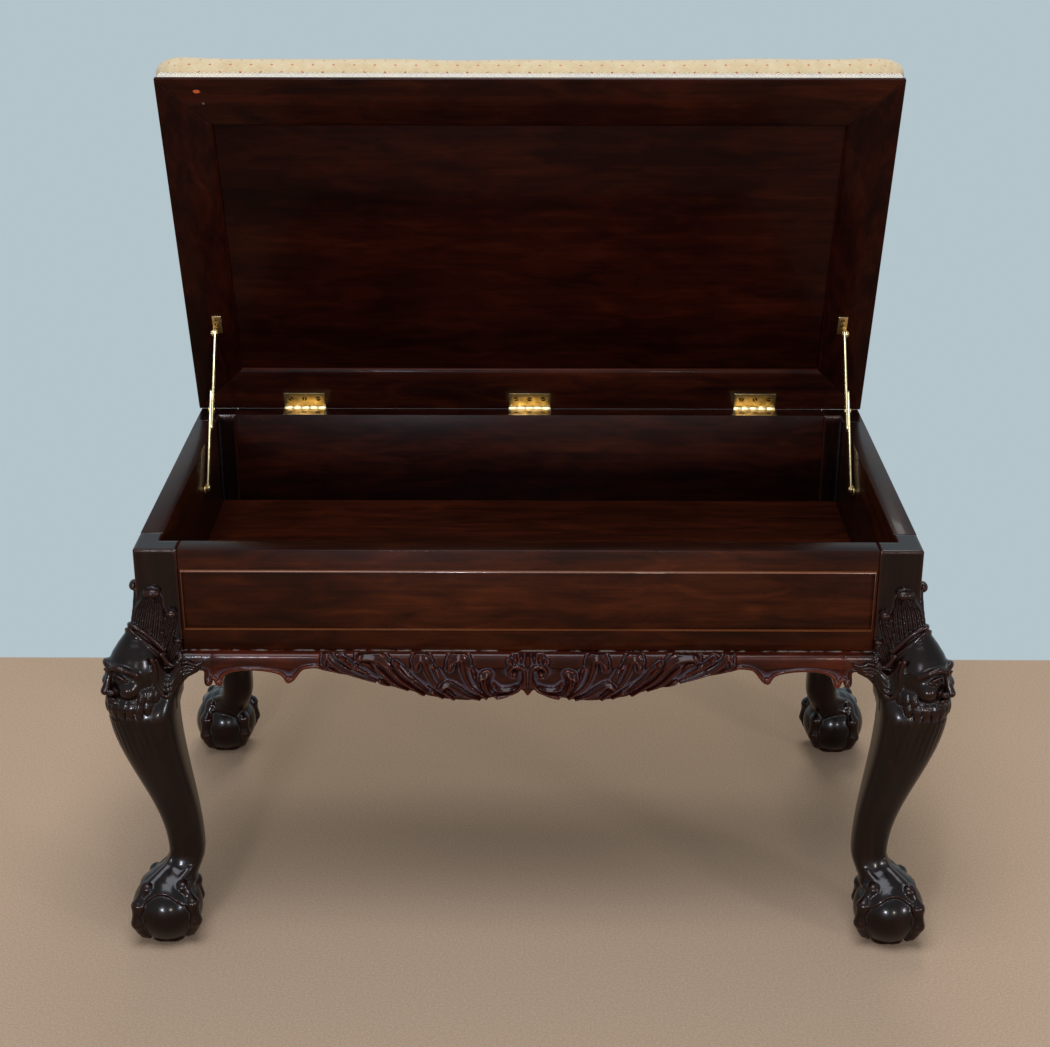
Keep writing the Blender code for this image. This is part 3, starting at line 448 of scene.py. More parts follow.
def makeMesh(name, points, quads):
    mesh = bpy.data.meshes.new(name)
    mesh.vertices.add(len(points))
    mesh.vertices.foreach_set("co", np.asarray(points, np.float32).ravel())
    mesh.loops.add(quads.size)
    mesh.loops.foreach_set("vertex_index", np.asarray(quads, np.int32).ravel())
    mesh.polygons.add(len(quads))
    mesh.polygons.foreach_set("loop_start", np.arange(0, quads.size, 4, dtype=np.int32))
    mesh.update(calc_edges=True)
    mesh.validate()
    return mesh


def makeObject(name, mesh, material):
    thing = bpy.data.objects.new(name, mesh)
    scene.collection.objects.link(thing)
    mesh.materials.clear()
    mesh.materials.append(material)
    return thing


def place(thing, body, slot, *replaced):
    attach(thing, body)
    if replaced:
        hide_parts(*replaced)
    return thing


def setFloats(mesh, name, values):
    layer = mesh.attributes.new(name, "FLOAT", "POINT")
    layer.data.foreach_set("value", np.asarray(values, np.float32))


def freshMesh(thing):
    graph = bpy.context.evaluated_depsgraph_get()
    graph.update()
    return bpy.data.meshes.new_from_object(thing.evaluated_get(graph), depsgraph=graph)


def meshPoints(mesh):
    points = np.zeros(len(mesh.vertices) * 3)
    mesh.vertices.foreach_get("co", points)
    return points.reshape(-1, 3)


def meshNormals(mesh):
    normals = np.zeros(len(mesh.vertices) * 3)
    mesh.vertex_normals.foreach_get("vector", normals)
    return normals.reshape(-1, 3)


def reliefPaint(mesh, plain, passes, depth):
    # Marks ridges (rubbed, with a painted highlight) and hollows (old wax, with a painted sheen), by how far each point
    # stands from its smoothed surroundings.
    # Points in plain are left out: they lie on ends that meet a neighbour.
    count = len(mesh.vertices)
    points = meshPoints(mesh)
    pairs = np.zeros(len(mesh.edges) * 2, np.int32)
    mesh.edges.foreach_get("vertices", pairs)
    first, second = pairs.reshape(-1, 2).T
    both = np.concatenate([first, second])
    other = np.concatenate([second, first])
    degree = np.maximum(np.bincount(both, minlength=count), 1)
    smooth = points.copy()
    for _ in range(passes):
        mean = [np.bincount(both, smooth[other, axis], count) / degree for axis in range(3)]
        smooth = np.stack(mean, 1)
    stands = ((points - smooth) * meshNormals(mesh)).sum(1)
    stands[plain] = 0
    return {"ridge": np.clip(stands / depth - 0.15, 0, 1), "hollow": np.clip(-stands / depth - 0.15, 0, 1)}


def shadeSmooth(mesh, angle=40):
    mesh.shade_smooth()
    mesh.set_sharp_from_angle(angle=radians(angle))


# Relief slabs: the aprons and knee brackets

edgeLook = {
    "beadRadius": 2.5, "beadRise": 3.2, "arris": 1.6,
    "volutes": [(80.4, 33.6), (152.6, 30.2)], "volute": 4.6, "voluteRise": 4.8, "voluteSunk": 1.6, "voluteTurns": 1.5,
    "voluteGroove": 0.14,
    "roll": 7.0, "rollDrop": 4.5, "swell": 1.0, "swellFrom": 4, "swellDrop": 14,
    "hollow": 3.0, "hollowFrom": 13, "hollowDrop": 11,
}
apronTop = case["railBottom"] - case["fit"]
apronProud = 10.0
apronThick = 30.0
bracketEnd = 74.0
# Neighbours run into each other by this much, so that no seam shows between them.
overlap = 0.5
slabStep = 0.9
bracketStep = 0.7


def slabMesh(span, drop, room, step, shape, locks=()):
    # A slab in relief: span is its range along the face, drop how far it hangs below the rails and room how far
    # its relief may stand out. shape gives the distance to its outline, negative inside, and the relief.
    low = np.array([span[0] - 3 * step, -apronProud - room, apronTop - drop])
    high = np.array([span[1] + 3 * step, apronThick - apronProud + 3, apronTop + 3 * step])
    axes = [np.arange(l, h, step) for l, h in zip(low, high)]
    inside, proud = shape(*np.meshgrid(axes[0], axes[2], indexing="ij"))
    across, depth, up = np.meshgrid(*axes, indexing="ij", sparse=True)
    field = common(inside[:, None, :], -apronProud - proud[:, None, :] - depth, edgeLook["arris"])
    for line, radii in locks:
        field = join(field, tubeField((across, depth, up), line, radii), hair["soft"])
    ends = np.maximum(np.maximum(span[0] - across, across - span[1]), up - apronTop)
    field = np.maximum(np.maximum(field, ends), depth + apronProud - apronThick)
    return surfaceNet(field.astype(np.float32), low, step)


def beadRelief(across, up, line, ground, fade=1.0):
    # A half-round bead just inside the lower edge.
    gap = nearLine(across, up, line)[0] - edgeLook["beadRadius"]
    rise = np.sqrt(np.clip(1 - (gap / edgeLook["beadRadius"]) ** 2, 0, 1)) * edgeLook["beadRise"] * fade
    return np.where(rise > 0, ground + rise, ground)


def voluteRelief(across, up, ground, centre, turn):
    # A scroll end: a domed disc with a spiral groove.
    x, z = across - centre[0], up - centre[1]
    gap = np.hypot(x, z) / edgeLook["volute"]
    spiral = np.cos(2 * pi * edgeLook["voluteTurns"] * gap - turn * np.arctan2(z, x))
    groove = 1 - edgeLook["voluteGroove"] * (1 - spiral)
    dome = edgeLook["voluteRise"] * np.sqrt(np.clip(1 - gap ** 2, 0, 1)) * groove
    return np.where(gap < 1, np.maximum(ground, dome - edgeLook["voluteSunk"]), ground)


def mouldedGround(up):
    # The face rolls over to the rail above in a wide curve, swells, and falls back to a hollow above the bead.
    drop = apronTop - up
    fall = np.clip(1 - drop / edgeLook["rollDrop"], 0, 1)
    roll = edgeLook["roll"] * (np.sqrt(1 - fall ** 2) - 1)
    swell = edgeLook["swell"] * np.sin(
        pi * np.clip((drop - edgeLook["swellFrom"]) / edgeLook["swellDrop"], 0, 1))
    return roll + swell - edgeLook["hollow"] * ease((drop - edgeLook["hollowFrom"]) / edgeLook["hollowDrop"])


leafForm = {
    "samples": 26, "tip": 0.60, "root": 0.50, "cutDepth": 2.6, "cutReach": 3.5, "cutFloor": -4.6,
    "crest": 0.25, "scoop": 0.10, "settle": 0.70, "knob": 1.0, "taper": 0.65, "sunk": 2.0,
}


def leafRelief(across, up, ground, line, width, rise, domed=False):
    # An acanthus lobe along a line from tip to root: a curled knob, then a crest that rounds off outwards and
    # falls to a scoop on its inner side, in a ground that is cut back beside it.
    form = leafForm
    gap, side, share = nearLine(across, up, smoothLine(line, form["samples"]))
    width = width * between(form["tip"], 1, share / 0.3) * between(1, form["root"], (share - 0.55) / 0.45)
    cut = ground - form["cutDepth"] * ease((width + form["cutReach"] - gap) / 2.5)
    ground = np.minimum(ground, np.maximum(cut, form["cutFloor"]))
    q = np.clip(-side * gap / width, -1, 1)
    knob = np.sqrt(1 - q ** 2)
    crest = form["crest"]
    outer = np.sqrt(np.clip(1 - ((q + crest) / (1 - crest)) ** 2, 0, 1))
    scoop = form["scoop"] + (1 - form["scoop"]) * (1 - np.clip((q + crest) / (1 + crest), 0, 1)) ** 2
    fold = knob if domed else np.where(q < -crest, outer, scoop)
    opened = ease((share - 0.06) / 0.16)
    lift = rise * between(1, form["settle"], (share - 0.3) / 0.7)
    body = lift * fold * opened + (lift + form["knob"]) * knob * (1 - opened)
    return np.where(gap < width, np.maximum(ground, body - form["sunk"]), ground)


def tubeRelief(across, up, ground, line, radius, rise):
    gap, _, share = nearLine(across, up, smoothLine(line, leafForm["samples"]))
    q = gap / (radius * (1 + (leafForm["taper"] - 1) * share))
    dome = rise * np.sqrt(np.clip(1 - q * q, 0, 1))
    return np.where(q < 1, np.maximum(ground, dome - leafForm["sunk"]), ground)


# The front apron's acanthus, by distance from the middle and drop below the rails, mirrored about the middle.
# Each leaf has its width, its rise and a line from tip to root.
apronCarving = {
    "leaves": [
        (2.8, 4.0, [(158, 30.5), (144, 35.5), (128, 40)]),
        (3.0, 4.4, [(177, 13), (171, 20), (158, 30)]),
        (3.6, 4.6, [(191, 5.5), (185, 11), (177, 18), (160, 29)]),
        (4.2, 5.0, [(209.5, 13.5), (208.8, 5), (206, 3), (200, 11), (190, 18.5), (176, 25), (158, 31.5)]),
        (4.0, 4.8, [(160, 8), (150, 20.5), (137, 34), (124, 41)]),
        (6.0, 6.4, [(174, 5), (169.5, 2.8), (161, 3), (152, 6), (143, 14.5), (130, 30), (108, 45.5)]),
        (3.4, 4.6, [(120.5, 29.5), (108, 39), (88, 50.5)]),
        (4.0, 5.0, [(136, 10.5), (131.5, 16.5), (122, 28), (104, 43.5)]),
        (3.8, 5.0, [(98.5, 15), (94.2, 22.5), (87, 36), (78, 46)]),
        (6.0, 6.6, [(115.2, 16.5), (114.5, 8), (110.5, 3.8), (105.5, 7.5), (101, 20.5), (93.5, 36.5), (77, 50.5)]),
        (3.8, 5.2, [(90, 39.5), (82.5, 35.5), (72.5, 41), (62.5, 48), (50, 52)]),
        (3.8, 5.0, [(57.5, 18), (53.8, 27.5), (45.5, 43), (36, 48.5)]),
        (6.0, 6.6, [(80.8, 16.5), (78, 7.5), (71.5, 3.5), (66, 7), (64.2, 20), (57.8, 36.5), (43, 49.5)]),
        (4.6, 5.8, [(48.5, 29), (46.5, 25.5), (41, 23.8), (42.8, 33), (38, 45), (27, 48.5)]),
        (2.6, 4.6, [(35, 35), (29.8, 40.5), (20, 41), (11, 37.5)]),
    ],
    "scroll": [(3.2, 34), (2.8, 22), (4.5, 15.2), (10, 12), (16.2, 14), (19.2, 19.5), (17.6, 24.6), (13.2, 25.8)],
    "scrollRadius": 3.2, "scrollRise": 7.4,
    "eye": (14.0, 21.8), "eyeRadius": 3.8, "eyeRise": 7.6,
    "arm": [(31, 49.5), (19, 46.8), (9.2, 39.5), (3.6, 28.5)], "armRadius": 3.2, "armRise": 5.8,
    "shell": [(56, 21.6), (37, 21.2), (19, 20.4), (0, 20.2)], "shellFoot": 21.0, "shellWidth": 4.2, "shellRise": 6.4,
    "reach": 214, "ground": 1.2, "beadEnd": 176,
}


def dropped(line):
    return [(x, apronTop - drop) for x, drop in line]


def carve(x, up, ground):
    form = apronCarving
    for width, rise, line in form["leaves"]:
        ground = leafRelief(x, up, ground, dropped(line), width, rise)
    ground = tubeRelief(x, up, ground, dropped(form["arm"]), form["armRadius"], form["armRise"])
    foot = apronTop - form["shellFoot"]
    for angle, reach in form["shell"]:
        tip = (reach * sin(radians(angle)), foot + reach * cos(radians(angle)))
        line = [tip, (tip[0] / 2, (tip[1] + foot) / 2), (0, foot)]
        ground = leafRelief(x, up, ground, line, form["shellWidth"], form["shellRise"], domed=True)
    ground = tubeRelief(x, up, ground, dropped(form["scroll"]), form["scrollRadius"], form["scrollRise"])
    ball = np.hypot(x - form["eye"][0], up - apronTop + form["eye"][1]) / form["eyeRadius"]
    dome = form["eyeRise"] * np.sqrt(np.clip(1 - ball ** 2, 0, 1))
    return np.where(ball < 1, np.maximum(ground, dome - leafForm["sunk"]), ground)


# Lower edges, by distance from the case's corner and drop below the rails; both halves are alike.
endScroll = [(74.3, 31), (76.6, 36.6), (80.2, 38.6), (83.4, 36.8), (84.4, 31), (87, 26.6), (96.3, 21.7), (114.3, 19.7),
             (130.3, 21.3)]
lowerEdges = {
    "front": endScroll + [
        (143.3, 25.2), (147.8, 30.5), (152.3, 34), (157.3, 32.5), (160.8, 28.5), (165.8, 21.5), (171.3, 17.3),
        (182.8, 16.1), (190, 20), (212.4, 26.4), (235.6, 31.5), (258.5, 37.9), (281.1, 45.6), (304.3, 52),
        (327.5, 55.2), (350.4, 54.6), (373.7, 49.8), (391.9, 42.8), (399.2, 50),
    ],
    "side": endScroll + [(147.5, 22.5), (172.5, 26.2), (195.5, 30.5), (217, 32.5)],
    "knee": [
        (34.6, 64), (34.9, 57), (36.2, 50), (38.5, 43.2), (41.2, 37.6), (44.8, 32.5), (48.6, 28.4), (57.4, 21),
        (64.1, 19.9), (65.2, 24), (64.8, 31), (66.4, 36.4), (69.8, 38), (72.8, 36), (74, 31),
    ],
}


def apronShape(name, half, scrolls, carved):
    # Gives a function for an apron's outline about its middle, and its relief.
    lower = smoothLine([(half - a, apronTop - drop) for a, drop in lowerEdges[name]], 90)
    past, above = half - bracketEnd + 5, apronTop + 5
    ends = [(past, lower[0][1]), (past, above), (-past, above), (-past, lower[0][1])]
    outline = np.vstack([lower * np.array([-1, 1]), lower[::-1], ends])

    def shape(across, up):
        x, ground, fade = np.abs(across), mouldedGround(up), 1.0
        if carved:
            ground = ground - apronCarving["ground"] * ease((apronCarving["reach"] - x) / 8)
            fade = ease((x - apronCarving["beadEnd"]) / 6)
        ground = beadRelief(x, up, lower, ground, fade)
        for centre, drop in edgeLook["volutes"][:scrolls]:
            ground = voluteRelief(x, up, ground, (half - centre, apronTop - drop), 1)
        return insideOutline(across, up, outline), carve(x, up, ground) if carved else ground

    return shape


# Locks of hair by along, depth and height: two guides, and the locks between them follow both
hair = {
    "upper": [(19, -19, 348), (20.5, -18, 341), (24, -15.2, 333.5), (29.5, -13.2, 328), (35.5, -12.8, 333),
              (42, -13.2, 341), (50, -13.2, 344), (58, -12.8, 340), (68, -12, 345.5)],
    "lower": [(14, -23, 338), (15.5, -22.5, 330), (19, -22.5, 319), (23.5, -22, 310.5), (29.5, -19.5, 308),
              (35, -15.5, 316), (42.5, -13.5, 325.5), (51, -13, 329.5), (60, -12.5, 333.5)],
    "locks": 5,
    "radius": (2.2, 2.5, 2.6, 2.6, 2.4, 2.0, 1.9, 1.8, 1.1),
    "face": [(16, -23.5, 351), (18, -22.5, 343), (18.5, -22, 333), (17, -23, 322), (14.5, -24.5, 312), (16, -24, 304)],
    "faceRadius": (2.6, 2.2),
    "soft": 0.3,
    "legSoft": 0.4,
    "curl": [(24, -13, 352), (27, -12.5, 346), (31, -11.5, 340.5), (35, -11, 338.5), (39.5, -11.5, 343)],
}


def hairLines():
    upper, lower = np.array(hair["upper"]), np.array(hair["lower"])
    lines = []
    for lock in range(hair["locks"]):
        share = lock / (hair["locks"] - 1)
        lines.append((smoothLine(upper * (1 - share) + lower * share, 17), hair["radius"]))
    lines.append((smoothLine(hair["face"], 11), hair["faceRadius"]))
    lines.append((smoothLine(hair["curl"], 9), hair["faceRadius"]))
    return lines


def tubeField(spots, line, radii):
    # Distance to a line in space whose thickness runs from the first radius to the last.
    best = None
    count = len(line) - 1
    spread = np.interp(np.linspace(0, 1, count + 1), np.linspace(0, 1, len(radii)), radii)
    for step in range(count):
        start, run = line[step], line[step + 1] - line[step]
        gaps = [spot - value for spot, value in zip(spots, start)]
        t = np.clip(sum(g * r for g, r in zip(gaps, run)) / (run @ run + 1e-9), 0, 1)
        gap = np.sqrt(sum((g - t * r) ** 2 for g, r in zip(gaps, run)))
        gap = gap - (spread[step] + (spread[step + 1] - spread[step]) * t)
        best = gap if best is None else np.minimum(best, gap)
    return best


def ellipsoid(spots, centre, radii):
    scaled = sum(((s - c) / r) ** 2 for s, c, r in zip(spots, centre, radii))
    steep = sum(((s - c) / (r * r)) ** 2 for s, c, r in zip(spots, centre, radii))
    k0 = np.sqrt(scaled)
    return k0 * (k0 - 1) / np.sqrt(steep + 1e-9)


kneeForm = {"volute": (69.3, 33.2), "beadFrom": (290, 14), "sink": 7, "sinkTo": (42, 12), "sinkFrom": (18, 8)}


def kneeShape(across, up):
    # The knee's arched edge runs from the leg along the bracket.
    edge = smoothLine(dropped(lowerEdges["knee"]), 110)
    past, above = bracketEnd + 5, apronTop + 5
    outline = np.vstack([edge, [(past, edge[-1][1]), (past, above), (-30, above), (-30, edge[0][1])]])
    low, fade = kneeForm["beadFrom"]
    ground = beadRelief(across, up, edge, mouldedGround(up), ease((up - low) / fade))
    ground = voluteRelief(across, up, ground, dropped([kneeForm["volute"]])[0], -1)
    # Beside the head the ledge sinks behind the hair.
    (end, fade), (drop, rise) = kneeForm["sinkTo"], kneeForm["sinkFrom"]
    ground = ground - kneeForm["sink"] * ease((end - across) / fade) * ease((up - apronTop + drop) / rise)
    return insideOutline(across, up, outline), ground


def cornerPlace(x, y, swap=False):
    # From the layout at the front left corner to the corner on the given sides; swap lays it along the side face.
    first, second = ((0, x), (y, 0)) if swap else ((x, 0), (0, y))
    return Matrix(((*first, 0, -case["halfWidth"] * x), (*second, 0, -case["halfDepth"] * y),
                   (0, 0, 1, 0), (0, 0, 0, 1)))


corners = []
for across, x in (("left", 1), ("right", -1)):
    for along, y in (("front", 1), ("back", -1)):
        corners.append((f"{along}_{across}", x, y))


def facePlace(turns, half):
    # From the layout about a face's middle to one of the four faces, by quarter turns.
    return Matrix.Rotation(turns * pi / 2, 4, "Z") @ Matrix.Translation((0, -half, 0))


# Carved wood: its wax is old wax and a painted bluish sheen in the hollows, its rubbed colour rubbed wear and a painted
# highlight.
carvedLook = {"ribbonLength": 0.3, "ribbonWidth": 0.012, "specular": 0.10, "coat": 0.16, "tones": apronTones,
              "rubbedAndHighlight": "#5a2411", "waxAndSheen": "#55525e", "waxAndSheenShare": 0.55, "aged": "#170604"}
carvedWood = mahogany("carved_polished_mahogany", "X", carvedLook, carved=True)
carvedWoodSide = mahogany("carved_polished_mahogany_side", "Y", carvedLook, carved=True)
kneeLook = {**carvedLook, "aged": "#0d0605", "rubbedAndHighlight": "#30130b", "specular": 0.15}
kneeWood = mahogany("carved_polished_mahogany_knee", "X", kneeLook, carved=True)
kneeWoodSide = mahogany("carved_polished_mahogany_knee_side", "Y", kneeLook, carved=True)


def splitLong(mesh):
    # Long thin faces beside a carved edge would shade in streaks.
    bm = bmesh.new()
    bm.from_mesh(mesh)
    for _ in range(carvedForm["splits"]):
        tooLong = [edge for edge in bm.edges if edge.calc_length() > carvedForm["longest"]]
        bmesh.ops.subdivide_edges(bm, edges=tooLong, cuts=1)
        bmesh.ops.triangulate(bm, faces=[face for face in bm.faces if len(face.verts) > 3])
    bm.to_mesh(mesh)
    bm.free()


carvedForm = {
    "longest": 4.0, "splits": 4, "sharp": 60, "spread": (12, 0.9), "slabSpread": (26, 1.2),
    "plainEnd": 1.6, "seam": 1.2, "paleSeamDepth": 2.3, "relief": 0.5, "frontDepth": 4, "legFade": 14,
}


def carvedMesh(name, points, quads, keep, plain, spread, **paint):
    # A carving in millimetres, thinned to the given share of its faces, then painted by its full relief.
    full = makeMesh(name, points, quads)
    paint = {"dust": np.zeros(len(points)), "aged": np.zeros(len(points)), **paint, **reliefPaint(full, plain, *spread)}
    holder = bpy.data.objects.new(name, full)
    scene.collection.objects.link(holder)
    holder.modifiers.new("thinner", "DECIMATE").ratio = keep
    mesh = freshMesh(holder)
    bpy.data.objects.remove(holder, do_unlink=True)
    splitLong(mesh)
    tree = KDTree(len(points))
    for number, point in enumerate(points):
        tree.insert(point, number)
    tree.balance()
    nearest = [tree.find(vertex.co)[1] for vertex in mesh.vertices]
    for layer, values in paint.items():
        setFloats(mesh, layer, values[nearest])
    shadeSmooth(mesh, carvedForm["sharp"])
    return mesh


def carvedSlab(name, points, quads, keep, span, carvedTo, agedTo):
    # Carved parts have aged darker than the plain ground: those within carvedTo of the middle of the face or of
    # the leg, and all that lies within agedTo of the leg.
    form = carvedForm
    along, depth, height = points.T
    ends = np.minimum(along - span[0], span[1] - along)
    plain = (ends < form["plainEnd"]) | (height > apronTop - form["seam"])
    # A pale broken line along the seam below the rails.
    dust = ease((depth + form["paleSeamDepth"]) / 0.9) * ease((height - apronTop + form["seam"]) / 0.6)
    stands = np.abs(-depth - apronProud - mouldedGround(height))
    aged = ease(stands - form["relief"]) * ease((carvedTo - np.abs(along)) / 4)
    aged = aged * ease((-form["frontDepth"] - depth) / 2)
    aged = np.maximum(aged, ease((agedTo - np.abs(along)) / form["legFade"]))
    return carvedMesh(name, points, quads, keep, plain, form["slabSpread"], dust=dust, aged=aged)


def finishCarving(name, form, spot, material, *replaced):
    mesh = form.copy()
    mesh.name = name
    mesh.transform(Matrix.Scale(mm, 4) @ spot)
    if spot.determinant() < 0:
        mesh.flip_normals()
    return place(makeObject(name, mesh, material), "case", "polished_mahogany", *replaced)


aprons = [
    {"finish": "carved", "edge": "front", "drop": 58, "scrolls": 2, "keep": 0.39, "sides": {"front": 0}},
    {"finish": "shaped", "edge": "front", "drop": 58, "scrolls": 2, "keep": 0.2, "sides": {"back": 2}},
    {"finish": "shaped", "edge": "side", "drop": 41, "scrolls": 1, "keep": 0.25, "sides": {"left": 3, "right": 1}},
]
apronRoom = 12
nowhere = -20


def addAprons():
    for apron in aprons:
        half, out, wood = case["halfWidth"], case["halfDepth"], carvedWood
        if apron["edge"] == "side":
            half, out, wood = out, half, carvedWoodSide
        end = half - bracketEnd - case["fit"] + overlap
        carved = apron["finish"] == "carved"
        shape = apronShape(apron["edge"], half, apron["scrolls"], carved)
        solid = slabMesh((-end, end), apron["drop"] + 3 * slabStep, apronRoom, slabStep, shape)
        carvedTo = apronCarving["reach"] if carved else nowhere
        form = carvedSlab("apron", *solid, apron["keep"], (-end, end), carvedTo, nowhere)
        for side, turns in apron["sides"].items():
            finishCarving(f"{apron['finish']}_{side}_apron", form, facePlace(turns, out), wood, f"{side}_apron")
    print("aprons carved")


bracketForm = {"drop": 42, "room": 8, "keep": 0.5, "carvedTo": 70, "agedTo": 64}


def addBrackets():
    look = bracketForm
    span = (case["post"] + case["fit"] - overlap, bracketEnd + overlap)
    solid = slabMesh(span, look["drop"], look["room"], bracketStep, kneeShape, hairLines())
    form = carvedSlab("bracket", *solid, look["keep"], span, look["carvedTo"], look["agedTo"])
    for label, x, y in corners:
        for face, wood in (("face", kneeWood), ("side", kneeWoodSide)):
            node = f"{label}_{face}_bracket"
            finishCarving(f"carved_{node}", form, cornerPlace(x, y, swap=face == "side"), wood, node)
    print("brackets carved")


# Legs: cabriole shaft, claw-and-ball foot, knee mask with beard, hair, head band and plumes

legForm = {
    "step": 1.0, "keep": 0.42, "low": (-56.0, -56.0, -3.0), "high": (50.0, 50.0, 468.0),
    "ankle": (100.0, 8.0, 46.0), "knee": (283.0, -35.5), "square": (3.0, 3.3),
    "shaftTop": 300.0, "topOut": -36.0, "topIn": 34.3, "innerRise": 0.9, "flare": (288.0, 319.5, 2.2),
    "crown": 348.0, "crownOut": 3.0, "block": 330.0, "rebate": 343.0,
    "strandPitch": 0.9, "strandSway": 1.2, "strandWave": 0.09, "strandRise": 0.25, "strandEnds": (228, 292),
    "layers": {"foot": (-5, 122), "knee": (286, apronTop), "head": (274, 402), "crest": (330, 440), "top": (306, 480)},
    "pegOut": 0.3775, "pegHeight": 0.4425, "pegRadius": 0.0045, "crisp": 0.9, "plainEdge": 1.4,
}
footForm = {
    "ball": (5.0, 5.0, 37.5),
    "radius": 38.0,
    "root": 18.0,
    "shell": 3.0,
    "lip": (42.0, 24.0),
    "toeOut": 1.5,
    "headings": [45, 123, 225, 327],
    "tendon": [(27, 15, 104, 1.4), (20.5, 17.5, 86, 2.8)],
    "toePolar": [28, 38, 53, 68, 83, 98, 111, 124, 137],
    "toeRadius": [5.6, 8.6, 5.6, 8.6, 5.8, 8.0, 5.8, 5.0, 2.8],
    "web": [(27, 27, 90), (18, 18, 72), (8, 8, 57)],
    "webRadius": (15.5, 19.0, 26.5),
}
# Each part of the head has its softness, then a centre with radii, or a line with the radii along it.
headForm = {
    "setBack": 9.0,
    "hollows": ("socket", "mouth"),
    "parts": {
        "skull": (5, (14, 0, 328), (33, 28, 40)),
        "cap": (6, smoothLine([(15, 0, 350), (12.5, 0, 362), (11, 0, 371)], 6), (20.0, 15.5, 10.5)),
        "jaw": (8, (24, 0, 306), (22, 22, 20)),
        "cheek": (7, (37, 16, 321), (9.5, 9, 8.5)),
        "chin": (5, (44, 0, 297.5), (7, 8.5, 6.5)),
        "brow": (4, smoothLine([(47, 0, 343), (45.5, 9, 346), (40, 17, 344), (31, 23, 338)], 8), (3.2, 3.4, 2.2)),
        "socket": (3, (49, 11, 335), (7, 7.5, 5.2)),
        "eye": (0.8, (40.5, 11, 334.6), (5.0, 6.2, 4.6)),
        "upperLid": (1.0, smoothLine([(44.8, 4.8, 334), (46.4, 10, 338), (43.4, 16, 335.6), (40.5, 19, 333)], 8),
                     (1.2, 1.5, 1.0)),
        "lowerLid": (1.0, smoothLine([(44.8, 4.8, 333.8), (45.8, 10.5, 330.8), (42.6, 16, 331.6), (40.5, 19, 333)], 8),
                     (1.0, 1.2, 0.9)),
        "nose": (3, smoothLine([(46.5, 0, 342), (50.5, 0, 331), (55, 0, 320.5)], 7), (2.6, 3.4, 4.6)),
        "wing": (2, (50, 5.0, 318.6), (4.6, 3.4, 3.4)),
        "upperLip": (1.6, smoothLine([(51.4, 0, 310.6), (50.2, 4, 311), (46, 9.5, 308.4)], 6), (2.4, 2.2, 1.0)),
        "lowerLip": (1.6, smoothLine([(50.6, 0, 305.8), (49, 4.5, 306), (45.8, 9, 308)], 6), (2.8, 2.5, 1.0)),
        "mouth": (0.8, smoothLine([(54, 0, 308.5), (51, 5, 308.6), (45.5, 10.5, 308)], 6), (0.9, 0.9, 0.7)),
    },
}
# Beard: rows of wavy locks round the jaw, by reach from the head's axis and height
beardForm = {
    "axis": 15.0,
    "rows": [
        {"locks": 4, "from": 64, "to": 108, "line": [(26, 324), (31, 316), (33, 306), (30.5, 296)],
         "radius": (1.4, 2.4, 2.3, 0.8)},
        {"locks": 5, "from": 8, "to": 74, "line": [(26, 312), (32, 304), (33.5, 294), (29.5, 282)],
         "radius": (1.8, 2.9, 2.7, 0.9)},
    ],
    "strands": (-5.0, 0.0, 5.0),
    "sway": (0, 4, -2, 5),
    "lift": 5.0,
    "narrow": 0.92,
    "soft": 0.7,
}
# Head band, by reach along the diagonal, distance to its side and height
bands = [
    {"radius": 2.1, "line": [
        (12, 0, 378.3), (11, 5.5, 376.5), (6.5, 11, 370.5), (-1, 17.8, 360.5), (-9, 21.8, 350.5)]},
    {"radius": 2.9, "line": [
        (9.5, 0, 382.5), (6.5, 6, 380.5), (0.5, 12, 374.2), (-7, 18.2, 363.8), (-12.8, 22.2, 354.6)]},
]
cornerReach = [(371, 10.5), (386, 8.8), (402, 4.6), (418, 3.4)]
# Plumes by distance along the face and height, with rolled tips; the first one wraps the corner
plumes = [
    {"line": [(8.5, 371), (10.5, 384), (13, 397), (15.5, 408)], "width": (16.5, 17, 16, 11),
     "rise": (8.0, 6.6, 4.4, 3.4), "flutes": 7, "wraps": True, "curl": (17, -4.8, 417.5), "curlSize": (8.8, 5.2, 5.2)},
    {"line": [(25, 357), (29.5, 372), (34.5, 388)], "width": (6.5, 7.4, 6.4),
     "rise": (7.0, 5.8, 4.4), "flutes": 4, "wraps": False, "curl": (35.2, -5.0, 394.5), "curlSize": (5.8, 4.6, 4.6)},
    {"line": [(30.5, 338), (36, 349), (39, 359)], "width": (6.0, 8.2, 6.8),
     "rise": (6.8, 6.4, 5.2), "flutes": 4, "wraps": False, "curl": (40, -4.2, 364), "curlSize": (4.6, 3.0, 2.2)},
]


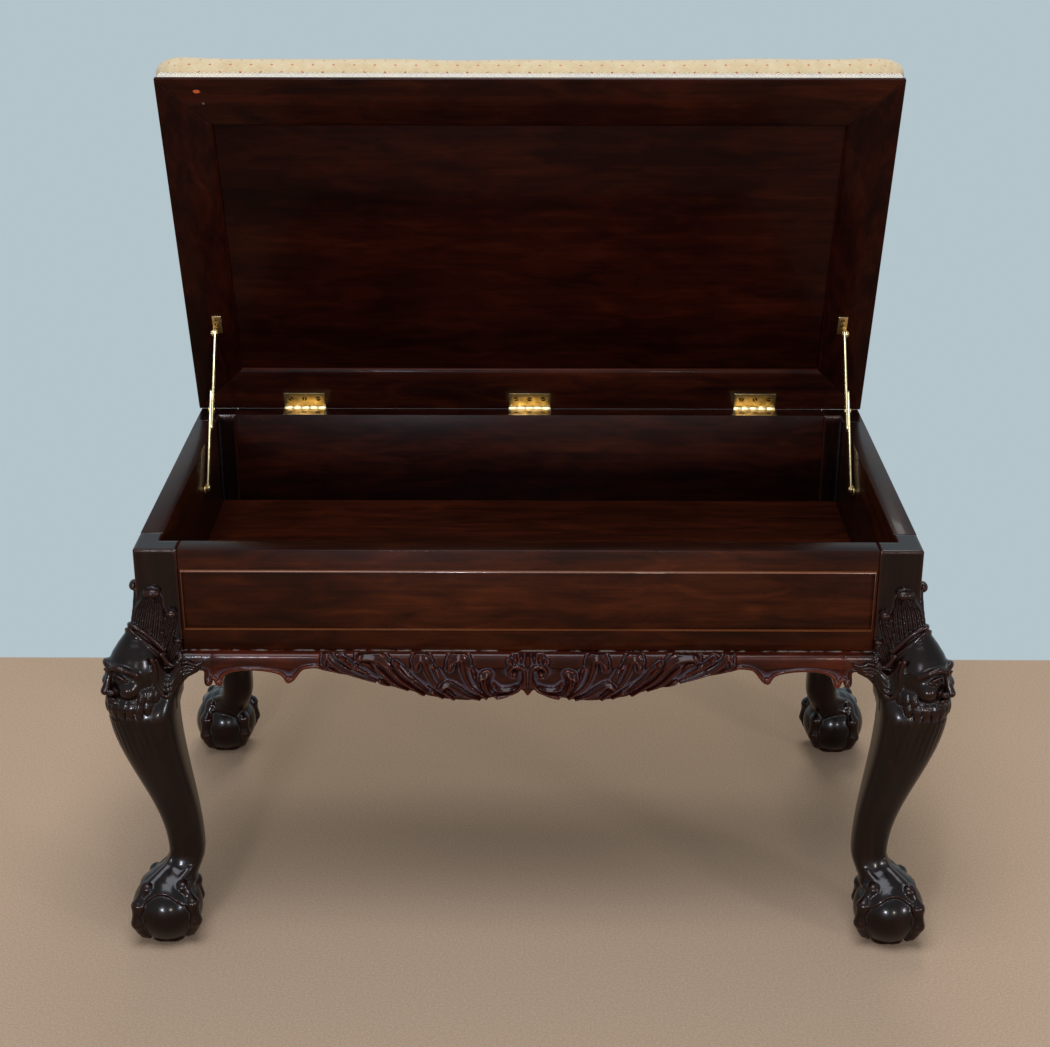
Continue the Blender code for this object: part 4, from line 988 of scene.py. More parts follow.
def legShaft(a, b, z):
    ankleZ, ankleOut, ankleIn = legForm["ankle"]
    kneeZ, kneeOut = legForm["knee"]
    rise = (z - ankleZ) / (legForm["shaftTop"] - ankleZ)
    out = between(ankleOut, legForm["topOut"], rise)
    inner = between(ankleIn, legForm["topIn"], rise / legForm["innerRise"])
    fall = (ankleZ - z) / (ankleZ - footForm["ball"][2])
    root = footForm["root"]
    out = np.where(z < ankleZ, between(ankleOut, footForm["ball"][0] - root, fall), out)
    inner = np.where(z < ankleZ, between(ankleIn, footForm["ball"][0] + root, fall), inner)
    over = (z - kneeZ) / (legForm["crown"] - kneeZ)
    out = np.where(z > kneeZ, between(kneeOut, legForm["crownOut"], over), out)
    low, high, power = legForm["flare"]
    widening = case["post"] - overlap - legForm["topIn"]
    inner = inner + widening * np.clip((z - low) / (high - low), 0, 1) ** power
    middle, half = (out + inner) / 2, (inner - out) / 2
    power = between(*legForm["square"], rise)
    ring = (np.abs(a - middle) / half) ** power + (np.abs(b - middle) / half) ** power
    field = (ring ** (1 / power) - 1) * half
    return np.maximum(field, z - legForm["crown"])


def postBlock(a, b, z):
    half = case["post"] / 2
    sides = common(np.abs(a - half) - half, np.abs(b - half) - half, 1.2)
    ends = np.maximum(legForm["block"] - z, z - case["rim"])
    return common(sides, ends, 0.4)


def footField(a, b, z, field):
    x, y, height = a - footForm["ball"][0], b - footForm["ball"][1], z - footForm["ball"][2]
    reach = np.sqrt(x * x + y * y + height * height)
    polar = np.degrees(np.arccos(np.clip(height / np.maximum(reach, 1e-6), -1, 1)))
    heading = np.arctan2(y, x)
    middle, extra = footForm["lip"]
    lip = middle + extra * np.abs(np.cos(2 * (heading - pi / 4))) ** 3
    web = np.maximum(reach - footForm["radius"] - footForm["shell"], (polar - lip) * footForm["radius"] * pi / 180)
    field = join(field, tubeField((a, b, z), smoothLine(footForm["web"], 8), footForm["webRadius"]), 6.0)
    field = join(field, web, 10.0)
    out = footForm["radius"] + footForm["toeOut"]
    radii = [spot[3] for spot in footForm["tendon"]] + footForm["toeRadius"]
    for angle in np.radians(footForm["headings"]):
        line = []
        for root, flat, rise, _ in footForm["tendon"]:
            line.append((root + flat * cos(angle), root + flat * sin(angle), rise))
        for fall in footForm["toePolar"]:
            flat = out * sin(radians(fall))
            line.append((footForm["ball"][0] + flat * cos(angle), footForm["ball"][1] + flat * sin(angle),
                         footForm["ball"][2] + out * cos(radians(fall))))
        field = join(field, tubeField((a, b, z), np.array(line), radii), 2.0)
    return np.minimum(field, reach - footForm["radius"])


def headField(spots, field):
    spots = (spots[0] + headForm["setBack"], *spots[1:])
    for part, (soft, form, radii) in headForm["parts"].items():
        body = tubeField(spots, form, radii) if np.ndim(form) == 2 else ellipsoid(spots, form, radii)
        field = common(field, -body, soft) if part in headForm["hollows"] else join(field, body, soft)
    return field


def beardField(spots, field):
    axis = beardForm["axis"] - headForm["setBack"]
    for row in beardForm["rows"]:
        for lock in range(row["locks"]):
            share = lock / (row["locks"] - 1)
            for strand in beardForm["strands"]:
                line = []
                for step, (reach, height) in enumerate(row["line"]):
                    turn = beardForm["sway"][step] + strand * (1 - step / 4)
                    angle = radians(row["from"] + (row["to"] - row["from"]) * share + turn)
                    raised = height + beardForm["lift"] * share ** 2 * step / 3
                    line.append((axis + reach * cos(angle), reach * beardForm["narrow"] * sin(angle), raised))
                field = join(field, tubeField(spots, smoothLine(line, 8), row["radius"]), beardForm["soft"])
    return field


plumeForm = {"none": -30.0, "edge": 0.35, "wrapFall": 0.12, "flute": 1.3, "samples": 16}


def plumeRelief(along, z):
    # Fluted plumes on the post's face: how far they stand out, or far below the face where there are none.
    rise = np.full(np.broadcast(along, z).shape, plumeForm["none"])
    for plume in plumes:
        gap, side, share = nearLine(along, z, smoothLine(plume["line"], plumeForm["samples"]))
        width = np.interp(share, np.linspace(0, 1, len(plume["width"])), plume["width"])
        height = np.interp(share, np.linspace(0, 1, len(plume["rise"])), plume["rise"])
        q = side * gap / width
        section = plumeForm["edge"] + (1 - plumeForm["edge"]) * np.sqrt(np.clip(1 - q * q, 0, 1))
        if plume["wraps"]:
            section = np.where(q > 0, 1 - plumeForm["wrapFall"] * q * q, section)
        body = height * section + plumeForm["flute"] * np.cos(pi * plume["flutes"] * q)
        rise = np.where(np.abs(q) < 1, np.maximum(rise, body), rise)
    return rise


def headdressField(spots, sides, relief, field):
    # spots: reach along the diagonal, distance beside it and height; sides: along, depth and height
    heights, reaches = zip(*cornerReach)
    crown = common(-relief - sides[1], spots[0] - np.interp(spots[2], heights, reaches), 4.0)
    field = join(field, crown, 0.8)
    for plume in plumes:
        field = join(field, ellipsoid(sides, plume["curl"], plume["curlSize"]), 1.2)
    for ring in bands:
        field = join(field, tubeField(spots, smoothLine(ring["line"], 14), (ring["radius"], ring["radius"])), 0.8)
    return field


def legMesh():
    step = legForm["step"]
    axes = [np.arange(l, h, step, dtype=np.float32) for l, h in zip(legForm["low"], legForm["high"])]
    a, b, z = np.meshgrid(*axes, indexing="ij", sparse=True)
    field = legShaft(a, b, z)
    strands = np.cos((a - b) * legForm["strandPitch"] + legForm["strandSway"] * np.sin(z * legForm["strandWave"]))
    low, high = legForm["strandEnds"]
    strands = strands * ease((z - low) / 30) * ease((high - z) / 12)
    field = field - legForm["strandRise"] * strands * ease((-a - b - 4) / 12)
    field = join(field, postBlock(a, b, z), 3.0)

    def onFaces(table):
        # Spreads values by distance along a face and height over the leg's two outer faces.
        steps = np.arange(len(axes[0]))
        return table[np.maximum.outer(steps, steps)]

    layers = [slice(*np.searchsorted(axes[2], ends)) for ends in legForm["layers"].values()]
    foot, knee, head, crest, top = layers
    field[:, :, foot] = footField(a, b, z[:, :, foot], field[:, :, foot])
    u = -(a + b) / sqrt(2)
    w = np.abs(a - b) / sqrt(2)
    along, depth = np.maximum(a, b), np.minimum(a, b)
    inside, ground = kneeShape(*np.meshgrid(axes[0], axes[2][knee], indexing="ij"))
    cheek = common(onFaces(inside), -apronProud - onFaces(ground) - depth, edgeLook["arris"])
    field[:, :, knee] = join(field[:, :, knee], cheek, 3.0)
    spots = (u, w, z[:, :, head])
    field[:, :, head] = headField(spots, field[:, :, head])
    field[:, :, head] = beardField(spots, field[:, :, head])
    for line, radii in hairLines():
        lock = tubeField((along, depth, z[:, :, head]), line, radii)
        field[:, :, head] = join(field[:, :, head], lock, hair["legSoft"])
    relief = onFaces(plumeRelief(*np.meshgrid(axes[0], axes[2][crest], indexing="ij")))
    spots, sides = (u, w, z[:, :, crest]), (along, depth, z[:, :, crest])
    field[:, :, crest] = headdressField(spots, sides, relief, field[:, :, crest])
    field[:, :, top] = np.maximum(field[:, :, top], along - case["post"] + 0.05)
    inner = np.minimum(np.minimum(a, b) - case["wall"], z - legForm["rebate"])
    field = np.maximum(field, inner)
    field = np.maximum(field, np.maximum(-z, z - case["rim"]))
    return surfaceNet(field.astype(np.float32), legForm["low"], step)


legLook = {
    **carvedLook, "specular": 0.15, "coat": 0.18, "tones": legTones, "aged": "#150a08", "rubbedAndHighlight": "#30130b",
    "waxAndSheen": "#3a3638", "waxAndSheenShare": 0.35,
}


def addLegs():
    points, quads = legMesh()
    along, height = points[:, :2].max(1), points[:, 2]
    plain = along > case["post"] - legForm["plainEdge"]
    plain = plain & (height > legForm["shaftTop"]) & (height < case["railBottom"])
    form = carvedMesh("leg", points, quads, legForm["keep"], plain, carvedForm["spread"])
    pegs = []
    for side in (-1, 1):
        centre = (side * legForm["pegOut"], -case["halfDepth"] * mm, legForm["pegHeight"])
        pegs.append({"centre": centre, "radius": legForm["pegRadius"]})
    wood = mahogany("carved_polished_mahogany_leg", "Z", {**legLook, "pegs": pegs}, carved=True)
    for label, x, y in corners:
        leg = finishCarving(f"carved_{label}_leg", form, cornerPlace(x, y), wood, f"{label}_leg")
        if y < 0:
            # Back legs are crisp at the top, so that no light shows below the lid's back edge.
            points = meshPoints(leg.data)
            points[points[:, 2] > (case["rim"] - legForm["crisp"]) * mm, 2] = case["rim"] * mm
            leg.data.vertices.foreach_set("co", points.ravel())
    print("legs sculpted:", len(form.polygons), "faces each")


# Joinery: copies of the CAD solids with softened edges

# Bevels in metres. The edges along the hinges stay crisp and close up, and the floor board fills its rebate.
edgeForm = {
    "plain": 0.0007, "brass": 0.00025, "closed": 0.0009, "closedFrom": 0.0010,
    "front_rail": 0.0010, "back_rail": 0.0002, "lid_back_member": 0.0002, "floor_board": 0.0001,
    "flat": 1, "sharp": 40, "smooth": 50, "segments": 2, "faceShare": 0.02, "rubbedAndHighlight": 0.8,
}


def softened(node, material, width, slot="polished_mahogany", merge=True, grow=0.0):
    bm = bmesh.new()
    bm.from_mesh(nodes[node].data)
    bmesh.ops.remove_doubles(bm, verts=bm.verts, dist=1e-6)
    low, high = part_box(node)
    for vertex in bm.verts:
        for axis in (0, 1):
            vertex.co[axis] += grow if 2 * vertex.co[axis] > low[axis] + high[axis] else -grow
    if merge:
        bmesh.ops.dissolve_limit(bm, angle_limit=radians(edgeForm["flat"]), verts=bm.verts, edges=bm.edges)
    angle = radians(edgeForm["sharp"])
    sharp = [e for e in bm.edges if len(e.link_faces) == 2 and e.calc_face_angle(0) > angle]
    bmesh.ops.bevel(bm, geom=sharp, offset=width, segments=edgeForm["segments"], profile=0.5, affect="EDGES",
                    clamp_overlap=True)
    largest = max(face.calc_area() for face in bm.faces)
    # Bevelled edges are marked as ridges, which the wood paints in its rubbed colour: rubbed wear and a painted
    # highlight.
    layer = bm.verts.layers.float.new("ridge")
    for vertex in bm.verts:
        flat = any(face.calc_area() > largest * edgeForm["faceShare"] for face in vertex.link_faces)
        vertex[layer] = 0.0 if flat else edgeForm["rubbedAndHighlight"]
    mesh = bpy.data.meshes.new(f"finished_{node}")
    bm.to_mesh(mesh)
    bm.free()
    shadeSmooth(mesh, edgeForm["smooth"])
    body = nodes[node]["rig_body"]
    return place(makeObject(mesh.name, mesh, material), body, slot, node)


lidChips = [
    {"centre": (-0.3584, 0.0868, 0.8691), "size": (0.0044, 0.0024, 0.0024), "tone": "#b0532f"},
    {"centre": (-0.3525, 0.0912, 0.8555), "size": (0.0016, 0.0016, 0.0016), "tone": "#5a5050"},
]

def addJoinery():
    # The rails' look paints shade on the rim's top face.
    kept = {"tones": frontTones, "rim": case["rim"] * mm, "specular": 0.07, "coat": 0.07}
    dull = {"specular": 0.05, "coat": 0.05}
    alongX = mahogany("polished_mahogany_front", "X", kept)
    alongY = mahogany("polished_mahogany_sides", "Y", {
        **kept, "specular": 0.12, "coat": 0.12, "shift": (0.3, 0.1, 0.2)})
    inside = mahogany("polished_mahogany_well", "X", {"shift": (1.3, 0.5, 0.2), "ribbonWidth": 0.03})
    floor = mahogany("polished_mahogany_well_floor", "X", {"shift": (2.3, 1.5, 0.2), "tones": wellTones})
    lidWood = mahogany("polished_mahogany_lid_frame", "X", {
        **dull, "shift": (2.1, 0.7, 0.4), "tones": lidTones, "chips": lidChips})
    lidSide = mahogany("polished_mahogany_lid_sides", "Z", {
        **dull, "shift": (0.4, 1.7, 0.9), "ribbonLength": 0.4, "tones": panelTones})
    panel = mahogany("polished_mahogany_lid_panel", "X", {
        **dull, "shift": (3.2, 0.2, 1.4), "ribbonLength": 0.7, "ribbonWidth": 0.05, "lineLength": 0.16,
        "tones": panelTones})
    woods = {
        "front_rail": alongX, "left_rail": alongY, "right_rail": alongY,
        "front_floor_cleat": alongX, "back_floor_cleat": alongX,
        "lid_front_member": lidWood, "lid_left_member": lidSide, "lid_right_member": lidSide, "lid_panel": panel,
        "back_rail": inside, "lid_back_member": lidWood, "floor_board": floor,
    }
    for node, wood in woods.items():
        grow = case["fit"] * mm if node == "floor_board" else 0.0
        softened(node, wood, edgeForm.get(node, edgeForm["plain"]), grow=grow)
    for side in ("left", "back", "right"):
        edge = bpy.data.objects[f"finished_lid_{side}_member"].data
        edge.transform(toShut)
        points = meshPoints(edge)
        points[points[:, 1] > points[:, 1].max() - edgeForm["closedFrom"], 1] += edgeForm["closed"]
        edge.vertices.foreach_set("co", points.ravel())
        edge.transform(toOpen)
    print("joinery softened")


# Bead frame: one half-round profile swept round the front rail by Geometry Nodes

def nodeGroup(name, inputs):
    group = bpy.data.node_groups.new(name, "GeometryNodeTree")
    group.interface.new_socket("Geometry", in_out="INPUT", socket_type="NodeSocketGeometry")
    for label, kind in inputs:
        group.interface.new_socket(label, in_out="INPUT", socket_type=kind)
    group.interface.new_socket("Geometry", in_out="OUTPUT", socket_type="NodeSocketGeometry")
    start = group.nodes.new("NodeGroupInput")
    end = group.nodes.new("NodeGroupOutput")
    return group, start.outputs, end.inputs["Geometry"]


def endGroup(group, given, result, source):
    # Every group ends in real geometry with its finish.
    real = addNode(group, "GeometryNodeRealizeInstances", {"Geometry": source}).outputs["Geometry"]
    done = addNode(group, "GeometryNodeSetMaterial", {"Geometry": real, "Material": given["Finish"]})
    group.links.new(done.outputs["Geometry"], result)
    return group


def bake(holder, group, values, name):
    # Runs a node group on an object and keeps the result as a plain mesh.
    modifier = holder.modifiers.new(name, "NODES")
    modifier.node_group = group
    for item in group.interface.items_tree:
        if item.in_out == "INPUT" and item.name in values:
            modifier[item.identifier] = values[item.name]
    mesh = freshMesh(holder)
    mesh.name = name
    bpy.data.objects.remove(holder, do_unlink=True)
    return mesh


def curveObject(name, points, cyclic):
    curve = bpy.data.curves.new(name, "CURVE")
    curve.dimensions = "3D"
    spline = curve.splines.new("POLY")
    spline.points.add(len(points) - 1)
    spline.points.foreach_set("co", np.hstack([np.asarray(points), np.ones((len(points), 1))]).ravel())
    spline.use_cyclic_u = cyclic
    thing = bpy.data.objects.new(name, curve)
    scene.collection.objects.link(thing)
    return thing


beadFrame = {"width": 0.0040, "rise": 0.0024, "steps": 10, "rubbedAndHighlight": 0.9}
beadLook = {
    "shift": (0.2, 0.4, 0.1), "tones": beadTones, "rubbedAndHighlight": "#6e3c1c", "specular": 0.3, "coat": 0.5, "aged": "#120604",
}


def sweepGroup():
    group, given, result = nodeGroup("swept_moulding", [
        ("Profile", "NodeSocketObject"), ("Finish", "NodeSocketMaterial"), ("Mitre", "NodeSocketFloat")])
    profile = addNode(group, "GeometryNodeObjectInfo", {"Object": given["Profile"]}).outputs["Geometry"]
    sweep = addNode(group, "GeometryNodeCurveToMesh", {
        "Curve": given["Geometry"], "Profile Curve": profile, "Scale": given["Mitre"], "Fill Caps": True})
    return endGroup(group, given, result, sweep.outputs["Mesh"])


def addBeadFrame(wood):
    strips = [f"bead_{side}" for side in ("top", "bottom", "left", "right")]
    lows, highs = zip(*(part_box(strip) for strip in strips))
    half = beadFrame["width"] / 2
    left, right = min(low[0] for low in lows) + half, max(high[0] for high in highs) - half
    bottom, top = min(low[2] for low in lows) + half, max(high[2] for high in highs) - half
    face = max(high[1] for high in highs)
    ring = [(left, face, bottom), (right, face, bottom), (right, face, top), (left, face, top)]
    arc = [pi * step / beadFrame["steps"] for step in range(beadFrame["steps"] + 1)]
    profile = [(half * cos(t), beadFrame["rise"] / sqrt(2) * sin(t), 0) for t in arc]
    outline = curveObject("bead_profile", profile, True)
    holder = curveObject("bead_path", ring, True)
    mesh = bake(holder, sweepGroup(), {"Profile": outline, "Finish": wood, "Mitre": sqrt(2)}, "swept_bead_frame")
    bpy.data.objects.remove(outline, do_unlink=True)
    shadeSmooth(mesh, edgeForm["smooth"])
    # The whole bead is marked as a ridge: its rubbed colour is rubbed wear and a painted highlight.
    setFloats(mesh, "ridge", np.full(len(mesh.vertices), beadFrame["rubbedAndHighlight"]))
    # Painted shade: the uprights, which face sideways to the light, are painted darker.
    upright = [float(abs(face.center.x) > right * 0.9) for face in mesh.polygons]
    mesh.attributes.new("aged", "FLOAT", "FACE").data.foreach_set("value", upright)
    place(makeObject("swept_bead_frame", mesh, wood), "case", "polished_mahogany", *strips)
    print("bead frame swept")


# Lid pieces are laid out with the lid shut, then turned open about the hinge pins

lidJoint = next(joint for joint in frame["joints"] if joint["name"] == "lid_hinge")
pin = Vector(lidJoint["pos_m"])
shutting = Matrix.Rotation(radians(lidJoint["range_deg"][1]), 4, "X")
toShut = Matrix.Translation(pin) @ shutting @ Matrix.Translation(-pin)
toOpen = toShut.inverted()


def shutPoints(node):
    turn = np.array(toShut)
    points = meshPoints(nodes[node].data)
    return points @ turn[:3, :3].T + turn[:3, 3]


# Screws: one slotted countersunk head, set by Geometry Nodes on points that hold its facing and size

screwForm = {
    "radius": 0.0032, "rise": 0.00022, "depth": 0.0007, "slot": 0.00055, "sides": 12, "seed": 7,
    "topShare": 0.93, "slotReach": 0.98, "slotDepth": 0.7,
    "leafSteps": (-0.0165, 0.0, 0.0165), "leafBack": 0.0138,
    "plateSteps": (-0.0082, 0.0082), "plateSize": 0.62, "footSteps": (0.0045, 0.0122), "footSize": 0.72,
}


def screwHead(metal):
    bm = bmesh.new()
    radius, half, share = screwForm["radius"], screwForm["slot"], screwForm["topShare"]
    start = np.arcsin(half / radius)
    for side in (1, -1):
        turns = np.linspace(start, pi - start, screwForm["sides"] + 1)
        outline = [(radius * cos(t), side * radius * sin(t)) for t in turns]
        drawnIn = side * half * (1 - share)
        top = [bm.verts.new((x * share, y * share + drawnIn, screwForm["rise"])) for x, y in outline]
        foot = [bm.verts.new((x, y, -screwForm["depth"])) for x, y in outline]
        bm.faces.new(top)
        for step in range(len(outline)):
            following = (step + 1) % len(outline)
            bm.faces.new((top[step], foot[step], foot[following], top[following]))
    reach = radius * screwForm["slotReach"]
    floor = [(-reach, -half), (reach, -half), (reach, half), (-reach, half)]
    bm.faces.new([bm.verts.new((x, y, -screwForm["depth"] * screwForm["slotDepth"])) for x, y in floor])
    bmesh.ops.recalc_face_normals(bm, faces=bm.faces)
    mesh = bpy.data.meshes.new("slotted_screw_head")
    bm.to_mesh(mesh)
    bm.free()
    return makeObject("slotted_screw_head", mesh, metal)


def screwGroup():
    group, given, result = nodeGroup("set_screws", [
        ("Screw", "NodeSocketObject"), ("Finish", "NodeSocketMaterial"), ("Seed", "NodeSocketInt")])
    head = addNode(group, "GeometryNodeObjectInfo", {"Object": given["Screw"]}).outputs["Geometry"]
    facing = addNode(group, "GeometryNodeInputNamedAttribute", {"Name": "facing"}, data_type="FLOAT_VECTOR")
    size = addNode(group, "GeometryNodeInputNamedAttribute", {"Name": "size"}, data_type="FLOAT")
    aimed = addNode(group, "FunctionNodeAlignRotationToVector", {"Vector": facing.outputs["Attribute"]}, axis="Z")
    turn = addNode(group, "FunctionNodeRandomValue", {2: 0.0, 3: pi, "Seed": given["Seed"]}, data_type="FLOAT")
    spin = addNode(group, "ShaderNodeCombineXYZ", {"Z": turn.outputs[1]})
    spun = addNode(group, "FunctionNodeRotateRotation", {
        "Rotation": aimed.outputs["Rotation"], "Rotate By": spin.outputs["Vector"]}, rotation_space="LOCAL")
    screws = addNode(group, "GeometryNodeInstanceOnPoints", {
        "Points": given["Geometry"], "Instance": head, "Rotation": spun.outputs["Rotation"],
        "Scale": size.outputs["Attribute"]})
    return endGroup(group, given, result, screws.outputs["Instances"])


def screwPlaces():
    # Each screw's place, facing and size, on the case and on the lid.
    spots = {"case": [], "lid": []}
    down = Vector((0, 0, -1))
    turned = toOpen.to_3x3() @ down
    y = pin.y - screwForm["leafBack"]
    for side in ("left", "middle", "right"):
        leaf = meshPoints(nodes[f"{side}_hinge_case_leaf"].data)
        lidLeaf = shutPoints(f"{side}_hinge_lid_leaf")
        centre = (leaf[:, 0].min() + leaf[:, 0].max()) / 2
        top = leaf[leaf[:, 1] < leaf[:, 1].min() + mm, 2].max()
        under = lidLeaf[lidLeaf[:, 1] < lidLeaf[:, 1].min() + mm, 2].min()
        for shift in screwForm["leafSteps"]:
            spots["case"].append((Vector((centre + shift, y, top)), -down, 1.0))
            spots["lid"].append((toOpen @ Vector((centre + shift, y, under)), turned, 1.0))
    for side, sign in (("left", 1), ("right", -1)):
        plate = meshPoints(nodes[f"{side}_stay_case_bracket"].data)
        face = plate[:, 0].max() if sign > 0 else plate[:, 0].min()
        y, z = plate[:, 1:].mean(0)
        for shift in screwForm["plateSteps"]:
            spots["case"].append((Vector((face, y + shift, z)), Vector((sign, 0, 0)), screwForm["plateSize"]))
        foot = shutPoints(f"{side}_stay_lid_bracket")
        end = foot[foot[:, 1] < foot[:, 1].min() + mm]
        x, y, z = end[:, 0].mean(), end[:, 1].min(), end[:, 2].min()
        for shift in screwForm["footSteps"]:
            spots["lid"].append((toOpen @ Vector((x, y + shift, z)), turned, screwForm["footSize"]))
    return spots


def addScrews(metal):
    head = screwHead(metal)
    group = screwGroup()
    for body, spots in screwPlaces().items():
        mesh = bpy.data.meshes.new(f"{body}_screw_places")
        mesh.from_pydata([spot[0] for spot in spots], [], [])
        facing = mesh.attributes.new("facing", "FLOAT_VECTOR", "POINT")
        facing.data.foreach_set("vector", np.array([spot[1] for spot in spots]).ravel())
        setFloats(mesh, "size", [spot[2] for spot in spots])
        holder = makeObject(f"{body}_screw_places", mesh, metal)
        values = {"Screw": head, "Finish": metal, "Seed": screwForm["seed"]}
        screws = bake(holder, group, values, f"{body}_screws")
        setFloats(screws, "ridge", np.zeros(len(screws.vertices)))
        place(makeObject(f"{body}_screws", screws, metal), body, "aged_brass")
    bpy.data.objects.remove(head, do_unlink=True)
    print("screws set")


def addBrass(metal, pale):
    for node in sorted(nodes):
        if "hinge" in node or "stay" in node:
            softened(node, pale if "arm" in node else metal, edgeForm["brass"], "aged_brass", merge=False)
    print("hinges and stays finished")


# Upholstery: a stuffed pad swollen by cloth pressure, a hem behind the gimp, and the gimp's cords

padForm = {
    "voxel": 0.008, "cover": 0.0053, "pressure": 0.35, "quality": 6, "frames": 14, "reach": 0.006, "tacked": 0.004,
    "fill": 0.8, "round": 0.03, "crown": 0.01, "fold": 0.008, "lastRow": -0.0016,
    "waves": [(0.0011, 0.21, 0.8), (0.0008, 0.13, 2.1), (0.0006, 0.37, 4.0)], "waveFrom": 0.01, "waveFade": 0.02,
}


def swell(pad, tackHeight):
    group = pad.vertex_groups.new(name="tacked")
    group.add([vertex.index for vertex in pad.data.vertices if vertex.co.z < tackHeight], 1.0, "REPLACE")
    before = meshPoints(pad.data)
    cloth = pad.modifiers.new("swell", "CLOTH")
    cloth.settings.quality = padForm["quality"]
    cloth.settings.use_pressure = True
    cloth.settings.uniform_pressure_force = padForm["pressure"]
    cloth.settings.vertex_group_mass = "tacked"
    cloth.settings.effector_weights.gravity = 0
    cloth.point_cache.frame_start = 1
    cloth.point_cache.frame_end = padForm["frames"]
    for number in range(1, padForm["frames"] + 1):
        scene.frame_set(number)
    after = meshPoints(freshMesh(pad))
    scene.frame_set(1)
    pad.modifiers.remove(cloth)
    pad.vertex_groups.clear()
    move = after - before
    length = np.linalg.norm(move, axis=1, keepdims=True)
    move *= np.minimum(1, padForm["reach"] / np.maximum(length, 1e-9))
    pad.data.vertices.foreach_set("co", (before + move).ravel())
    print("pad swollen by up to", round(float(length.max()) / mm, 2), "mm, kept to", padForm["reach"] / mm)


def layCloth(mesh, low, high):
    # The pattern lies flat on the pad between these corners and runs on down its sides, where a row of dots
    # stands just above the gimp.
    points = meshPoints(mesh)
    bend = padForm["round"]
    level = high[2] - padForm["crown"]
    inner = np.clip(points[:, :2], low[:2] + bend, high[:2] - bend)
    out = points[:, :2] - inner
    reach = np.linalg.norm(out, axis=1)
    drop = np.maximum(level - points[:, 2], 0) * (reach > 0)
    full = reach + (bend - reach) * ease(drop / padForm["fold"])
    spread = inner + out * ((full + drop) / np.maximum(reach, 1e-6))[:, None]
    row = low[1] - level + shutPoints("gimp_braid")[:, 2].max() + padForm["lastRow"]
    spread[:, 1] -= row % (fabricLook["diamondHeight"] / 2)
    used = np.zeros(len(mesh.loops), np.int32)
    mesh.loops.foreach_get("vertex_index", used)
    layer = mesh.uv_layers.new(name="cloth")
    layer.data.foreach_set("uv", spread[used].astype(np.float32).ravel())


def addCushion(fabric):
    mesh = nodes["seat_stuffing"].data.copy()
    mesh.transform(toShut)
    start = makeObject("pad_form", mesh, fabric)
    even = start.modifiers.new("even", "REMESH")
    even.mode = "VOXEL"
    even.voxel_size = padForm["voxel"]
    mesh = freshMesh(start)
    bpy.data.objects.remove(start, do_unlink=True)
    mesh.vertices.foreach_set("co", (meshPoints(mesh) + padForm["cover"] * meshNormals(mesh)).ravel())
    pad = makeObject("stuffed_seat", mesh, fabric)
    frameTop = shutPoints("lid_front_member")[:, 2].max()
    swell(pad, frameTop + padForm["tacked"])
    pad.modifiers.new("finer", "SUBSURF").levels = 1
    mesh = freshMesh(pad)
    bpy.data.objects.remove(pad, do_unlink=True)
    mesh.name = "stuffed_seat"
    points = meshPoints(mesh)
    waves = sum(height * np.sin(2 * pi * points[:, 0] / length + turn) for height, length, turn in padForm["waves"])
    points[:, 2] += waves * ease((points[:, 2] - frameTop - padForm["waveFrom"]) / padForm["waveFade"])
    mesh.vertices.foreach_set("co", points.ravel())
    mesh.update()
    box = points.min(0), points.max(0)
    layCloth(mesh, *box)
    mesh.shade_smooth()
    mesh.transform(toOpen)
    pad = place(makeObject("stuffed_seat", mesh, fabric), "lid", "cream_fabric", "seat_cover", "seat_stuffing")
    print("cushion stuffed")
    return box


gimpForm = {
    "scallop": 0.0052, "spacing": 0.0013, "bandSpacing": 0.004, "cordSides": 5,
    "corner": 0.004, "leastCorner": 0.0005, "cornerSteps": 6, "inset": 0.0012,
    "tape": 0.0006, "tapeInset": 0.0016, "tapeEnds": (0.0005, -0.006),
    "hem": 0.0010, "hemInset": 0.0024, "hemEnds": (0.0003, 0.008),
}


def roundedRing(low, high, radius, spacing):
    # An even ring of points round a rectangle with rounded corners, turning left.
    outline = []
    for x, y, start in ((high[0] - radius, high[1] - radius, 0), (low[0] + radius, high[1] - radius, 1),
                        (low[0] + radius, low[1] + radius, 2), (high[0] - radius, low[1] + radius, 3)):
        for step in range(gimpForm["cornerSteps"] + 1):
            angle = (start + step / gimpForm["cornerSteps"]) * pi / 2
            outline.append((x + radius * cos(angle), y + radius * sin(angle)))
    outline = np.array(outline + outline[:1])
    run = np.concatenate([[0], np.cumsum(np.linalg.norm(np.diff(outline, axis=0), axis=1))])
    count = int(round(run[-1] / spacing))
    spots = np.linspace(0, run[-1], count, endpoint=False)
    return np.stack([np.interp(spots, run, outline[:, axis]) for axis in (0, 1)], 1), run[-1]


def ringBand(low, high, radius, thick, heights):
    # A thin band round the lid, as quads round its section.
    spacing, inner = gimpForm["bandSpacing"], max(radius - thick, gimpForm["leastCorner"])
    outer = roundedRing(low, high, radius, spacing)[0]
    inner = roundedRing(low + thick, high - thick, inner, spacing)[0]
    count = min(len(outer), len(inner))
    picks = [np.linspace(0, len(ring), count, endpoint=False).astype(int) for ring in (outer, inner)]
    outer, inner = outer[picks[0]], inner[picks[1]]
    rings = []
    for ring, height in ((outer, heights[0]), (outer, heights[1]), (inner, heights[1]), (inner, heights[0])):
        rings.append(np.column_stack([ring, np.full(count, height)]))
    steps = np.arange(count)
    following = (steps + 1) % count
    quads = []
    for side in range(4):
        up = (side + 1) % 4
        quads.append(np.column_stack([side * count + steps, side * count + following,
                                      up * count + following, up * count + steps]))
    return np.vstack(rings), np.vstack(quads)


